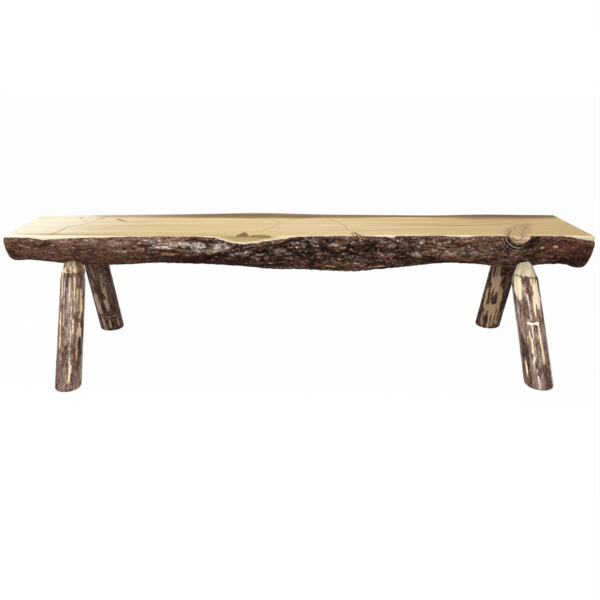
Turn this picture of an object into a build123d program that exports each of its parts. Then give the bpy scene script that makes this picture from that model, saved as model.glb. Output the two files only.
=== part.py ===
from build123d import *

import os
from collections import namedtuple
from math import cos, radians, sin

# Rustic half-log bench.
#
# A bark-on half log, sawn flat on top, stands on four skip-peeled pole legs that splay to the front
# and to the rear. Each leg has a round tenon turned on its upper end, under a domed or conical
# shoulder. The tenon goes into a blind mortise, bored square to the log's length at the leg's splay,
# through the bark into the log. The shoulder beds in the bark, and a hidden wedge, driven into a kerf
# as the tenon goes home, keeps it there. A pole has its own crook, and its foot is cut level.
#
# Frame: millimetres, +X along the bench, -Y its front, +Z up, origin on the floor under its middle.

# ---------------------------------------------------------------- seat log
seat_length = 1829.0  # 72 in, between the two sawn ends
seat_height = 457.0  # 18 in, floor to the sawn top
seat_width = 330.0  # nominal width of the bare wood, at the sawn top
seat_thickness = 113.0  # nominal depth of the bare wood under the sawn top
fullness = 0.664  # of the log's round: 0.552 makes an ellipse, more is squarer in the shoulders
saw_allowance = 6.0  # what the saw takes off above the top
arris_chamfer = 2.5  # the sawn top's edges are eased
bark_thickness = 8.0
bark_trim = 4.5  # the bark is cut back this far under the sawn top

# Where the log swells away from its nominal section: share of the half length, from -1 at the left
# end to 1 at the right end, and then millimetres at the front, at the rear and underneath.
Swell = namedtuple("Swell", "share front rear under")
swells = [
    Swell(-1.00, 12, -11, -13),
    Swell(-0.90, 12, -4, -10),
    Swell(-0.75, 11, 8, 3),
    Swell(-0.56, 9, 20, -2),
    Swell(-0.34, 9, 33, -1),
    Swell(-0.13, 10, 48, 13),
    Swell(0.08, 6, 23, 22),
    Swell(0.20, 5, 16, 26),
    Swell(0.36, 2, 10, 12),
    Swell(0.56, 1, 6, -2),
    Swell(0.74, 6, 21, 8),
    Swell(0.86, 2, 14, 4),
    Swell(0.95, 7, 10, 2),
    Swell(1.00, 10, 6, 15),
]

# Drawknife scoops, which take the bark and the arris off the front edge: their middle along the
# bench from its centre, their length, and how far they fall at the bark's face.
Scoop = namedtuple("Scoop", "x length drop")
scoops = [Scoop(-170.0, 150.0, 24.0), Scoop(-745.0, 140.0, 10.0)]
scoop_slope = 42.0  # degrees that a scoop falls towards the front

# A branch, sawn off in the front edge over the right-hand legs.
stub_from_right = 236.0  # its sawn face from the log's right end
stub_radius = 34.0
stub_over_top = 8.0  # its centre would lie this far over the sawn top
stub_turn = 14.0  # degrees that the branch runs off square to the log
stub_stands_out = 5.0  # of the bark
stub_root = 130.0  # from its sawn face into the log
stub_taper = 2.0  # degrees that the branch narrows towards its root
collar_lip = 7.0  # width of the bark round the stub's sawn face
collar_step = 1.5  # the lip lies this far behind the sawn face
collar_depth = 30.0  # from the lip in to where the bark begins to rise
collar_slope = 40.0  # degrees that the collar widens

# ---------------------------------------------------------------- legs
leg_inset = 176.0  # nominal, from the log's end to a mortise's centre line
stance = 562.0  # nominal, front foot to rear foot, between centres on the floor
mortise_aim = 72.0  # a mortise's line, run on, leaves the sawn top this far off the log's middle
pole_radius = 43.0  # nominal, bark and all
pole_bark = 2.5  # what is left of the bark on a pole
bark_fade = 14.0  # along the pole, where its bark thins out to the bare shoulder
shoulder_length = 44.0  # nominal, from the pole's bark to the tenon
shoulder_bed = 7.0  # how deep the shoulder beds into the log's bark
tenon_radius = 19.05  # 1 1/2 in tenon
tenon_chamfer = 2.5
mortise_clearance = 0.12
mortise_end_gap = 2.5  # room for glue past the tenon's end
mortise_cover = 20.0  # from the mortise's end, on its centre line, up to the sawn top
foot_chamfer = 3.0
ring_shares = [-0.15, 0.3, 0.7, 1.0]  # of a pole's length, from the floor: where its form is set

# How each leg differs from the nominal ones, in millimetres: its mortise further inwards along the
# bench, and its foot further out from it; its pole's crook, which sets the foot to the right of the
# mortise's line; its radius fuller at the foot, and at the head; its shoulder longer. side is -1 for
# the left, row is -1 for the front, and dome is how far the shoulder bulges out of a cone.
Leg = namedtuple("Leg", "name side row inwards outwards crook foot head shoulder dome")
legs = [
    Leg("front_left", -1, -1, 14, 6, -2, -3.0, -5.0, 0, 8.0),
    Leg("front_right", 1, -1, 13, -7, 32, -0.5, -2.0, 8, 1.0),
    Leg("rear_left", -1, 1, 13, -19, 8, 0.0, -1.0, -2, 6.0),
    Leg("rear_right", 1, 1, -12, 9, 1, 2.5, 1.5, 2, 3.0),
]

# ---------------------------------------------------------------- hidden wedges in the tenons
wedge_butt = 6.5  # thickness at the mortise's end
wedge_tip = 1.5
wedge_length = 36.0
kerf_past_tip = 4.0
wedge_side_gap = 1.5  # the wedge is this much narrower than the tenon, on each side


def section(swell, grown):
    """A cross-section of the log, grown outwards: its underside, closed over the sawn top."""
    front = seat_width / 2 + swell.front + grown
    rear = seat_width / 2 + swell.rear + grown
    depth = seat_thickness + swell.under + grown
    station = Plane((swell.share * seat_length / 2, 0, seat_height), x_dir=(0, 1, 0), z_dir=(1, 0, 0))
    with BuildSketch(station) as sketch:
        with BuildLine():
            Bezier((-front, 0), (-front, -fullness * depth), (-fullness * front, -depth), (0, -depth))
            Bezier((0, -depth), (fullness * rear, -depth), (rear, -fullness * depth), (rear, 0))
            Polyline((rear, 0), (rear, saw_allowance), (-front, saw_allowance), (-front, 0))
        make_face()
    return sketch.sketch.face()


def bark_front(x):
    """How far the bark's front face lies to the front, just under the sawn top."""
    line = Axis((x, -seat_width, seat_height - bark_trim), (0, 1, 0))
    return barked_log.part.find_intersection_points(line)[0][0].Y


def scoop_cutter(scoop):
    """A cylinder that takes one scoop out of the front edge, its axis running down the slope."""
    slope = radians(scoop_slope)
    depth = scoop.drop * cos(slope)
    radius = ((scoop.length / 2) ** 2 + depth**2) / (2 * depth)
    downhill = Vector(0, -cos(slope), -sin(slope))
    outward = Vector(0, -sin(slope), cos(slope))
    edge = Vector(scoop.x, bark_front(scoop.x), seat_height)
    with BuildPart() as cutter:
        with BuildSketch(Plane(edge + outward * (radius - depth), x_dir=(1, 0, 0), z_dir=downhill)):
            Circle(radius)
        extrude(amount=seat_width / 2, both=True)
    return cutter.part


def mortise_axis(leg):
    """The centre line of a mortise, from where it meets the floor upwards."""
    out = leg.row * (stance / 2 + leg.outwards)
    at_floor = Vector(leg.side * (seat_length / 2 - leg_inset - leg.inwards), out, 0)
    return Axis(at_floor, (0, leg.row * mortise_aim - out, seat_height))


def mortise_plane(leg):
    """The plane of a mortise's profile: x along the bench, and y up its centre line."""
    axis = mortise_axis(leg)
    return Plane(axis.position, x_dir=(1, 0, 0), z_dir=Vector(1, 0, 0).cross(axis.direction))


def shoulder_end(leg):
    """Where the shoulder meets the tenon, as a distance up the mortise's line."""
    axis = mortise_axis(leg)
    bark_face = barked_log.part.find_intersection_points(axis)[0][0]
    return (bark_face - axis.position).length + shoulder_bed


def mortise_end(leg):
    """The far end of the mortise, as a distance up its line."""
    return (seat_height - mortise_cover) / mortise_axis(leg).direction.Z


def bare_neck(leg):
    """Where a leg's bark has given way to its bare shoulder: radius, and distance up the line."""
    return pole_radius + leg.head - pole_bark, shoulder_end(leg) - shoulder_length - leg.shoulder


def pole_ring(leg, share):
    """A cross-section of a pole, at a share of its length from the floor to its head."""
    axis = mortise_axis(leg)
    neck = bare_neck(leg)[1]
    foot = axis.position + Vector(leg.crook, 0, 0)
    head = axis.position + axis.direction * (neck - bark_fade)
    square_to = head - foot if share < 1 else axis.direction
    across = Vector(0, 1, 0).cross(square_to)
    with BuildSketch(Plane(foot + (head - foot) * share, x_dir=across, z_dir=square_to)) as ring:
        Circle(pole_radius + leg.foot + (leg.head - leg.foot) * share)
    return ring.sketch.face()


def pole_blank(leg):
    """A leg turned and peeled: its pole, running on below the floor, its shoulder and its tenon."""
    bare_radius, neck = bare_neck(leg)
    tenon_end = mortise_end(leg) - mortise_end_gap
    with BuildPart() as blank:
        loft(sections=[pole_ring(leg, share) for share in ring_shares])
        with BuildSketch(mortise_plane(leg)):
            with BuildLine():
                Polyline(
                    (0, neck - bark_fade),
                    (pole_radius + leg.head, neck - bark_fade),
                    (bare_radius, neck),
                )
                SagittaArc((bare_radius, neck), (tenon_radius, shoulder_end(leg)), -leg.dome)
                Polyline(
                    (tenon_radius, shoulder_end(leg)),
                    (tenon_radius, tenon_end - tenon_chamfer),
                    (tenon_radius - tenon_chamfer, tenon_end),
                    (0, tenon_end),
                    (0, neck - bark_fade),
                )
            make_face()
        revolve(axis=mortise_axis(leg))
    return blank.part


def mortise(leg):
    """The hole for a leg: the form of its shoulder and tenon, grown by the clearance."""
    bare_radius, neck = bare_neck(leg)
    mouth = (bare_radius + mortise_clearance, neck)
    shoulder_seat = (tenon_radius + mortise_clearance, shoulder_end(leg))
    with BuildPart() as hole:
        with BuildSketch(mortise_plane(leg)):
            with BuildLine():
                SagittaArc(mouth, shoulder_seat, -leg.dome)
                Polyline(
                    shoulder_seat,
                    (tenon_radius + mortise_clearance, mortise_end(leg)),
                    (0, mortise_end(leg)),
                    (0, neck),
                    mouth,
                )
            make_face()
        revolve(axis=mortise_axis(leg))
    return hole.part


def wedge_outline(leg):
    """A wedge seen along its width, point down."""
    butt = mortise_end(leg)
    tip = butt - wedge_length
    return [(-wedge_butt / 2, butt), (-wedge_tip / 2, tip), (wedge_tip / 2, tip), (wedge_butt / 2, butt)]


# The whole log with its bark on, and the bare log inside it, both sawn flat on top.
with BuildPart() as barked_log:
    loft(sections=[section(swell, bark_thickness) for swell in swells])
    split(bisect_by=Plane.XY.offset(seat_height), keep=Keep.BOTTOM)
with BuildPart() as bare_log:
    loft(sections=[section(swell, 0) for swell in swells])
    split(bisect_by=Plane.XY.offset(seat_height), keep=Keep.BOTTOM)

# The branch stub's frame: its origin is the middle of the sawn face, its z runs into the log.
stub_x = seat_length / 2 - stub_from_right
into_log = Vector(0, 1, 0).rotate(Axis.Z, -stub_turn)
stub_face = Plane(
    (stub_x, bark_front(stub_x) - stub_stands_out, seat_height + stub_over_top),
    x_dir=Vector(0, 0, 1).cross(into_log).reverse(),
    z_dir=into_log,
)
with BuildPart() as stub:
    with BuildSketch(stub_face):
        Circle(stub_radius)
    extrude(amount=stub_root, taper=stub_taper)
    split(bisect_by=Plane.XY.offset(seat_height), keep=Keep.BOTTOM)

scoop_cutters = [scoop_cutter(scoop) for scoop in scoops]
mortises = [mortise(leg) for leg in legs]

# ---------------------------------------------------------------- the seat log, with its branch stub
with BuildPart() as seat_log:
    add(bare_log)
    chamfer(faces().sort_by(Axis.Z)[-1].edges(), length=arris_chamfer)
    add(stub)
    add(scoop_cutters, mode=Mode.SUBTRACT)
    add(mortises, mode=Mode.SUBTRACT)

# ---------------------------------------------------------------- the bark round it
with BuildPart() as seat_bark:
    add(barked_log)
    with BuildSketch(stub_face.offset(collar_step)):
        Circle(stub_radius + collar_lip)
    extrude(amount=collar_depth, taper=-collar_slope)
    add(bare_log, mode=Mode.SUBTRACT)
    add(stub, mode=Mode.SUBTRACT)
    split(bisect_by=Plane.XY.offset(seat_height - bark_trim), keep=Keep.BOTTOM)
    add(scoop_cutters, mode=Mode.SUBTRACT)
    add(mortises, mode=Mode.SUBTRACT)

pieces = {"seat_log": seat_log.part, "seat_bark": seat_bark.part}

# ---------------------------------------------------------------- the legs and their tenon wedges
for leg in legs:
    with BuildPart() as pole:
        add(pole_blank(leg))
        split(bisect_by=Plane.XY, keep=Keep.TOP)
        chamfer(edges().group_by(Axis.Z)[0], length=foot_chamfer)
        with BuildSketch(mortise_plane(leg)):
            Polygon(*wedge_outline(leg), align=None)
            with Locations((0, mortise_end(leg) - wedge_length)):
                Rectangle(wedge_tip, kerf_past_tip, align=(Align.CENTER, Align.MAX))
        extrude(amount=pole_radius, both=True, mode=Mode.SUBTRACT)
    pieces[f"leg_{leg.name}"] = pole.part

    with BuildPart() as wedge:
        with BuildSketch(mortise_plane(leg)):
            Polygon(*wedge_outline(leg), align=None)
        extrude(amount=tenon_radius - wedge_side_gap, both=True)
    pieces[f"tenon_wedge_{leg.name}"] = wedge.part

os.makedirs("parts", exist_ok=True)
for name, piece in pieces.items():
    piece.label = name
    export_step(piece, f"parts/{name}.step")
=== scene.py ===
"""Rustic log bench: dresses the solid model of a half-log bench with bark, grain and peeled poles.

Everything is in metres, in the solid model's own frame: +X along the bench, -Y its front, +Z up.
Tables of marks and swellings on a piece are in millimetres and degrees, as a maker would note them.
"""

from collections import namedtuple
from math import pi, radians

import bmesh
import bpy
import numpy as np
from bpy.props import FloatProperty, FloatVectorProperty, PointerProperty
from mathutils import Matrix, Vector
from mathutils.bvhtree import BVHTree


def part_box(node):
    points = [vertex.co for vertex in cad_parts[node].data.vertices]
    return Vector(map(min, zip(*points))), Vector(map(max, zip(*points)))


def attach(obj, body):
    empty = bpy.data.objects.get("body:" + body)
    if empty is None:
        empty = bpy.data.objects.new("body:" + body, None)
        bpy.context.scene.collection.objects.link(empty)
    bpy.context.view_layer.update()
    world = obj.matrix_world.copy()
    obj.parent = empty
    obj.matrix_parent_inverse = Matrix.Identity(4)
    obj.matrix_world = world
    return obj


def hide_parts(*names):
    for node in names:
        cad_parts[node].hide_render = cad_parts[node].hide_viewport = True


bl_info = {
    "name": "Log bench",
    "version": (1, 0, 0),
    "blender": (4, 5, 0),
    "location": "View3D > Sidebar > Log bench",
    "description": "Dresses a half-log bench with bark, planed and varnished wood and skip-peeled poles",
    "category": "Add Mesh",
}

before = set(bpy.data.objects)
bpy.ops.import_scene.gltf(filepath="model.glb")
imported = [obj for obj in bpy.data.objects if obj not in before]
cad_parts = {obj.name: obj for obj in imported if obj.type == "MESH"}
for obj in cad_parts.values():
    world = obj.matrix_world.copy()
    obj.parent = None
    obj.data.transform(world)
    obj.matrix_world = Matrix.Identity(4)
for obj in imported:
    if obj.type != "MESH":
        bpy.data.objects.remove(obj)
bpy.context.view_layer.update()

MM = 0.001
LEGS = ("front_left", "front_right", "rear_left", "rear_right")
SEAT_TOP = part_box("seat_log")[1].z
HALF_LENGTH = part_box("seat_log")[1].x

# How the bark is laid out, in millimetres: the turns at which the log is measured, the rows of the outer
# skin, how many of them the hidden inner wall skips, and the gap between cross-sections, which are closer
# together within a margin to each side of the stub.
BARK_TURNS = 145
BARK_ROWS = 132
INNER_STEP = 12
STATION_GAP, STUB_STATION_GAP, STUB_MARGIN = 3.1, 1.7, 44
# The least distance from the middle of the top to the bark's outside and to the wood's.
LEAST_BARK, LEAST_WOOD = 95, 85
# The turn, in radians, at which the log's reach just under its rims is read.
RIM_TURN = 0.09
# Round a leg's line the log is bored, so that its surface isn't measured there.
BORE_CLEARANCE, BORE_REACH = 50, 120
# How far out the rays that measure the log and the poles start, in metres.
LOG_RAY, POLE_RAY = 0.4, 0.12
# A pole's sides, the gap between its rings, and the radius at which its turns count as lengths. Its rings
# end where the leg reaches no further than TENON_REACH, and TENON_GAP above them its tenon is joined on.
POLE_SIDES, RING_GAP, POLE_RADIUS, TENON_REACH, TENON_GAP = 140, 2.0, 45, 23, 1.5
# Points of a solid that lie closer together than this are one point.
WELD = 0.001
# The sawn top: how deep its marks and its grids reach in the hollows of its front edge, the gap of its
# coarse grid, half its width in metres, and how far round a mark each finer grid goes.
TOP_DEPTH, GRID_DEPTH = 32, 30
TOP_CELL = 12
TOP_HALF_WIDTH = 0.21
MARK_GRIDS = (14, 7, 3.5, 2.0)

# ---------------------------------------------------------------- marks and swellings, in millimetres
# How far the bark's front edge lies under the sawn top: place along the bench, drop.
FRONT_RIM = [
    (-915, 7), (-890, 6.5), (-842, 8), (-815, 12), (-795, 15.5), (-765, 14), (-715, 11), (-640, 8),
    (-495, 5), (-371, 4.5), (-309, 5), (-265, 9), (-240, 16), (-221, 23), (-200, 28), (-168, 29.5),
    (-137, 26), (-106, 21), (-76, 16), (-45, 12), (-23, 7), (2, 5), (60, 4.5), (141, 4), (219, 5),
    (262, 7), (287, 11), (305, 5), (374, 3), (436, 4), (480, 7), (510, 9.5), (535, 6), (561, 4),
    (600, 3.5), (800, 4), (835, 7), (870, 13), (900, 18), (915, 20),
]
REAR_RIM = [
    (-915, 6), (-800, 4), (-640, 8), (-520, 4), (-380, 5), (-250, 12), (-180, 7), (-60, 4), (90, 6),
    (210, 10), (300, 5), (450, 4), (560, 7), (700, 4), (820, 6), (915, 9),
]
# The branch stub in the front edge: the middle of its sawn face, and its radius.
Stub = namedtuple("Stub", "x z radius")
STUB = Stub(678.5, 465.0, 34.0)

# How lively the bark's relief is along the bench.
RELIEF = [(-915, 0.55), (-620, 0.65), (-480, 0.95), (-250, 0.9), (-160, 1.25), (0, 1.45), (150, 1.45),
          (300, 1.3), (500, 0.95), (640, 1.0), (730, 1.1), (800, 0.8), (915, 0.65)]

# How dark the bark is along the bench.
DARKNESS = [(-915, 0.0), (-560, -0.1), (-420, 0.0), (-300, 0.45), (-200, 0.8), (-100, 0.6), (130, 0.5),
            (260, 0.4), (400, 0.45), (620, 0.2), (720, 0.35), (915, 0.5)]

# How deep and dark the bark's cracks look along the bench: how strong the painted shade in them is.
CREASED = [(-915, 0.4), (-560, 0.5), (-330, 0.9), (0, 1.0), (520, 0.85), (760, 0.6), (915, 0.45)]

# Humps in the bark: place along the bench, height above the floor, half length, half height, rise.
Hump = namedtuple("Hump", "x z long tall rise")
HUMPS = [
    Hump(2, 419, 29, 22, 7.0), Hump(115, 421, 32, 15, 3.0), Hump(92, 395, 17, 10, 5.0),
    Hump(270, 426, 32, 16, 5.5), Hump(-140, 378, 22, 12, 6.0), Hump(-823, 440, 34, 14, 3.0),
    Hump(377, 437, 18, 9, 3.5), Hump(176, 352, 40, 14, 3.5), Hump(415, 400, 30, 14, 3.0),
    Hump(56, 380, 24, 11, 4.5), Hump(200, 394, 26, 12, 5.0), Hump(-46, 362, 28, 12, 4.0),
    Hump(180, 432, 24, 14, 4.0), Hump(-215, 384, 26, 12, 3.5), Hump(330, 412, 20, 10, 3.5),
    Hump(-480, 438, 26, 11, 3.5), Hump(505, 438, 26, 10, 3.0), Hump(60, 440, 18, 9, 3.5),
]
# Folds, along which the bark above laps over the bark below: their points, and how far it laps.
Fold = namedtuple("Fold", "points lap")
FOLDS = [
    Fold([(-262, 398), (-201, 410), (-160, 420), (-116, 427), (-60, 436), (-20, 449)], 5.5),
    Fold([(-60, 430), (-20, 404), (20, 398), (60, 404)], 3.5),
    Fold([(-110, 405), (-60, 390), (-20, 374), (30, 350)], 4.0),
    Fold([(232, 424), (246, 406), (270, 400), (300, 414), (330, 418)], 5.0),
    Fold([(-520, 404), (-420, 392), (-340, 386), (-250, 392), (-170, 384)], 3.0),
    Fold([(150, 410), (230, 386), (330, 384), (440, 380)], 3.5),
    Fold([(600, 396), (650, 386), (688, 382), (730, 396), (790, 430)], 3.0),
]
# Tones in the bark's front: place along the bench, height, half length, half height, strength.
Tone = namedtuple("Tone", "x z long tall strength")
TONES = {
    # Grey bark, on which the material also puts painted glints as highlights.
    "silver": [
        Tone(-430, 420, 40, 8, 1.4), Tone(-318, 426, 34, 14, 1.3), Tone(-245, 424, 36, 13, 1.3),
        Tone(-370, 432, 80, 16, 0.85), Tone(-290, 408, 90, 11, 0.75), Tone(-440, 440, 60, 12, 0.75),
        Tone(-580, 436, 30, 12, 0.7), Tone(-530, 438, 26, 10, 0.6),
        Tone(-560, 410, 26, 9, 0.5), Tone(8, 424, 22, 12, 0.2), Tone(104, 431, 26, 6, 0.6),
        Tone(136, 421, 16, 6, 0.6),
        Tone(377, 438, 22, 10, 0.9), Tone(370, 396, 26, 14, 0.7), Tone(40, 443, 24, 6, 0.9),
        Tone(140, 396, 16, 9, 0.6), Tone(624, 430, 22, 14, 0.6), Tone(520, 402, 130, 20, 0.55),
        Tone(-60, 411, 38, 9, 0.6), Tone(60, 400, 14, 16, 0.6), Tone(150, 386, 34, 8, 0.5),
        Tone(285, 428, 18, 10, 0.5),
        Tone(400, 400, 60, 14, 0.4), Tone(-640, 438, 60, 12, 0.45), Tone(-100, 362, 60, 9, 0.3),
        Tone(688, 412, 46, 9, 0.6), Tone(205, 366, 50, 10, 0.5), Tone(-620, 420, 50, 16, 0.3),
    ],
    "dark": [
        Tone(-300, 372, 190, 18, 1.0), Tone(-60, 400, 90, 26, 0.7), Tone(30, 405, 110, 40, 0.55),
        Tone(190, 410, 90, 30, 0.6), Tone(340, 396, 60, 18, 0.8), Tone(-478, 428, 26, 10, 0.8),
        Tone(-690, 410, 26, 14, 0.3), Tone(-830, 440, 50, 10, 0.25), Tone(686, 424, 60, 20, 0.6),
        Tone(620, 400, 50, 16, 0.4), Tone(760, 398, 40, 16, 0.4), Tone(880, 390, 50, 40, 0.35),
        Tone(-150, 352, 120, 16, 0.6), Tone(270, 362, 90, 12, 0.4), Tone(36, 430, 13, 22, 1.1),
        Tone(-50, 431, 34, 8, 0.9), Tone(-100, 398, 60, 8, 0.9), Tone(0, 383, 60, 7, 0.8),
        Tone(84, 410, 10, 14, 0.9),
    ],
    "red": [
        Tone(-330, 444, 46, 8, 0.9), Tone(-120, 436, 110, 12, 0.9), Tone(92, 395, 18, 10, 1.2),
        Tone(-140, 378, 24, 12, 0.9), Tone(-60, 382, 60, 10, 0.6), Tone(470, 442, 120, 12, 0.8),
        Tone(610, 440, 40, 12, 0.6), Tone(840, 416, 90, 40, 1.1), Tone(-700, 405, 60, 20, 0.5),
        Tone(-860, 420, 50, 30, 0.35), Tone(20, 365, 60, 12, 0.6), Tone(160, 352, 60, 10, 0.6),
    ],
    "tan": [
        Tone(95, 348, 22, 5, 1.3), Tone(436, 431, 10, 4, 1.1), Tone(756, 420, 8, 4, 0.9),
        Tone(799, 421, 9, 6, 1.1), Tone(524, 441, 13, 6, 1.0), Tone(305, 442, 5, 4, 1.2),
        Tone(257, 401, 26, 4, 0.9), Tone(246, 412, 6, 10, 0.7), Tone(-549, 408, 16, 6, 0.6),
        Tone(250, 346, 44, 4, 0.7), Tone(-40, 384, 44, 5, 0.45), Tone(700, 398, 12, 4, 0.5),
    ],
}

# The log's pith: on a line along the bench at this place across it and this height.
PITH = (0, 4, 446)
# A mark in the planed top: the points it passes, along and across the bench, and its half width at its
# start and its end.
Mark = namedtuple("Mark", "points start end")
CRACKS = [
    Mark([(-782, -140), (-768, -112)], 1.6, 0.4),
    Mark([(-690, 96), (-664, 134)], 3.0, 1.5),
    Mark([(-634, 108), (-608, 80), (-582, 46)], 5.5, 1.5),
    Mark([(-558, 46), (-556, 40)], 2.0, 1.5),
    Mark([(500, -8), (520, -12), (548, -8)], 1.0, 2.2),
    Mark([(168, -104), (165, -176)], 0.8, 1.6),
    Mark([(170, -108), (193, -160), (206, -180)], 0.6, 1.4),
    Mark([(648, -170), (662, -130), (680, -90)], 1.3, 0.4),
    Mark([(690, -176), (698, -140)], 1.2, 0.3),
]
SOFT_LINES = [
    Mark([(-782, -140), (-768, -112), (-761, -39), (-729, 1), (-701, 30)], 3.0, 2.4),
    Mark([(-701, 30), (-700, 60), (-690, 96)], 1.0, 1.6),
    Mark([(-766, 132), (-740, 84), (-715, 47)], 1.5, 0.5),
    Mark([(-587, 52), (-560, 40), (-520, 36)], 1.5, 0.2),
    Mark([(-890, -142), (-815, -145), (-757, -150)], 2.0, 12.0),
    Mark([(-757, -150), (-620, -155), (-475, -162), (-300, -164)], 9.0, 4.0),
    Mark([(-300, -162), (-240, -168), (-190, -172)], 5.0, 9.0),
    Mark([(-126, 127), (-90, 92), (-59, 47)], 2.5, 1.0),
    Mark([(-59, 47), (-70, 10), (-78, -20), (-119, -99)], 1.0, 1.5),
    Mark([(-190, 120), (-130, 96), (-70, 90)], 1.5, 0.5),
    Mark([(-220, -174), (-196, -176)], 2.0, 4.0),
    Mark([(-96, -178), (-58, -174)], 5.0, 3.0),
    Mark([(99, 136), (128, 60), (155, -3)], 1.5, 1.5),
    Mark([(155, -3), (152, -64), (160, -100)], 1.2, 0.8),
    Mark([(338, -3), (430, -2), (520, -12), (640, 2), (705, 15), (740, 5)], 4.0, 7.0),
    Mark([(35, -165), (46, -158), (57, -165)], 1.5, 1.0),
    Mark([(405, -160), (520, -157), (623, -162)], 4.5, 3.0),
    Mark([(800, -165), (850, -160), (912, -162)], 4.0, 8.0),
    Mark([(718, -100), (742, -50), (769, 16)], 1.5, 2.0),
    Mark([(772, 14), (752, 60), (730, 112)], 4.0, 6.0),
    Mark([(784, 40), (772, 84), (758, 130)], 3.0, 6.0),
    Mark([(560, 60), (660, 66), (724, 84)], 2.0, 6.0),
    Mark([(520, 34), (640, 40), (740, 34)], 2.0, 4.0),
]
ROSY_MARKS = [
    Mark([(-170, -118), (-182, -178)], 1.0, 24.0),
    Mark([(-160, -174), (-128, -166), (-92, -176)], 12.0, 9.0),
    Mark([(93, -187), (150, -184), (205, -180)], 4.0, 3.0),
    Mark([(172, -112), (184, -180)], 1.0, 9.0),
    Mark([(-700, 160), (-640, 152), (-560, 162)], 9.0, 12.0),
]
# Darker wood with soft outlines: beside the knot, and here and there along the edges.
SHADES = [
    Mark([(652, -150), (664, -112), (682, -72)], 9.0, 7.0),
    Mark([(622, -124), (655, -126)], 1.0, 5.0),
    Mark([(722, -140), (736, -90), (752, -50)], 3.0, 5.0),
    Mark([(90, -176), (150, -178), (215, -178)], 5.0, 5.0),
    Mark([(-60, 150), (-20, 136), (40, 140)], 10.0, 8.0),
    Mark([(700, 140), (760, 150), (830, 140)], 12.0, 14.0),
]
# Knots seen along their length in the top: they narrow from the edge inwards.
SPIKES = [
    Mark([(664, -205), (668, -173), (693, -99), (709, -60)], 22.0, 19.0),
    Mark([(709, -61), (735, -30), (768, 12)], 19.0, 1.0),
]
# The wood along the front edge: 1 where it is cream, -1 where the hollow is dark.
EDGE_TONE = [
    (-915, 0.5), (-850, 0.45), (-810, 0.7), (-760, 0.9), (-700, 0.5), (-640, 0.3), (-300, 0.2),
    (-262, -0.6), (-215, -1), (-130, -0.9), (-90, -0.3), (-60, 0.3), (-20, 0.35), (60, 0.3), (220, 0.35),
    (270, 0.8), (310, 0.3), (420, 0.5), (520, 0.8), (600, 0.4), (720, 0.3), (800, 0.5), (850, 1), (915, 1),
]
# How far across the bench the brown band along the top's rear edge begins.
REAR_BAND = [
    (-915, 190), (-740, 168), (-690, 136), (-600, 124), (-520, 120), (-420, 121), (-340, 118),
    (-200, 113), (0, 112), (180, 120), (360, 130), (480, 118), (640, 104), (840, 106), (915, 112),
]

# Each pole's colours: its bark from dark to light, its bare wood from tan to cream and its turned shoulder;
# and how much its varnish shines. The rear poles' colours are darker copies, as painted shade, and their
# lower shine also makes their grey film and whorls fainter; the front right pole's light bark is lighter,
# partly as painted highlight.
Finish = namedtuple("Finish", "bark light bare_low bare_high shoulder shine")
POLE_FINISHES = [
    Finish(
        (0.062, 0.027, 0.017), (0.205, 0.115, 0.081), (0.46, 0.31, 0.17), (0.74, 0.58, 0.38),
        (0.14, 0.085, 0.040), 1,
    ),
    Finish(
        (0.060, 0.028, 0.018), (0.30, 0.190, 0.145), (0.68, 0.53, 0.32), (0.89, 0.78, 0.55),
        (0.50, 0.42, 0.29), 1,
    ),
    Finish(
        (0.034, 0.014, 0.008), (0.082, 0.044, 0.030), (0.20, 0.14, 0.09), (0.40, 0.32, 0.24),
        (0.24, 0.15, 0.09), 0.2,
    ),
    Finish(
        (0.026, 0.009, 0.005), (0.072, 0.029, 0.016), (0.27, 0.165, 0.090), (0.42, 0.29, 0.17),
        (0.28, 0.18, 0.10), 0.2,
    ),
]

# What is on each pole. Turns are degrees from the front, counted towards the bench's right-hand end.
# A patch is bare wood where the bark was skipped off: top height and turn, bottom height and turn, width.
Patch = namedtuple("Patch", "z0 turn0 z1 turn1 width")
# A knot: its height, turn, width and height. A whorl: its height, its middle turn, its reach, its height.
Knot = namedtuple("Knot", "z turn wide tall")
Whorl = namedtuple("Whorl", "z turn spread tall")
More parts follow.
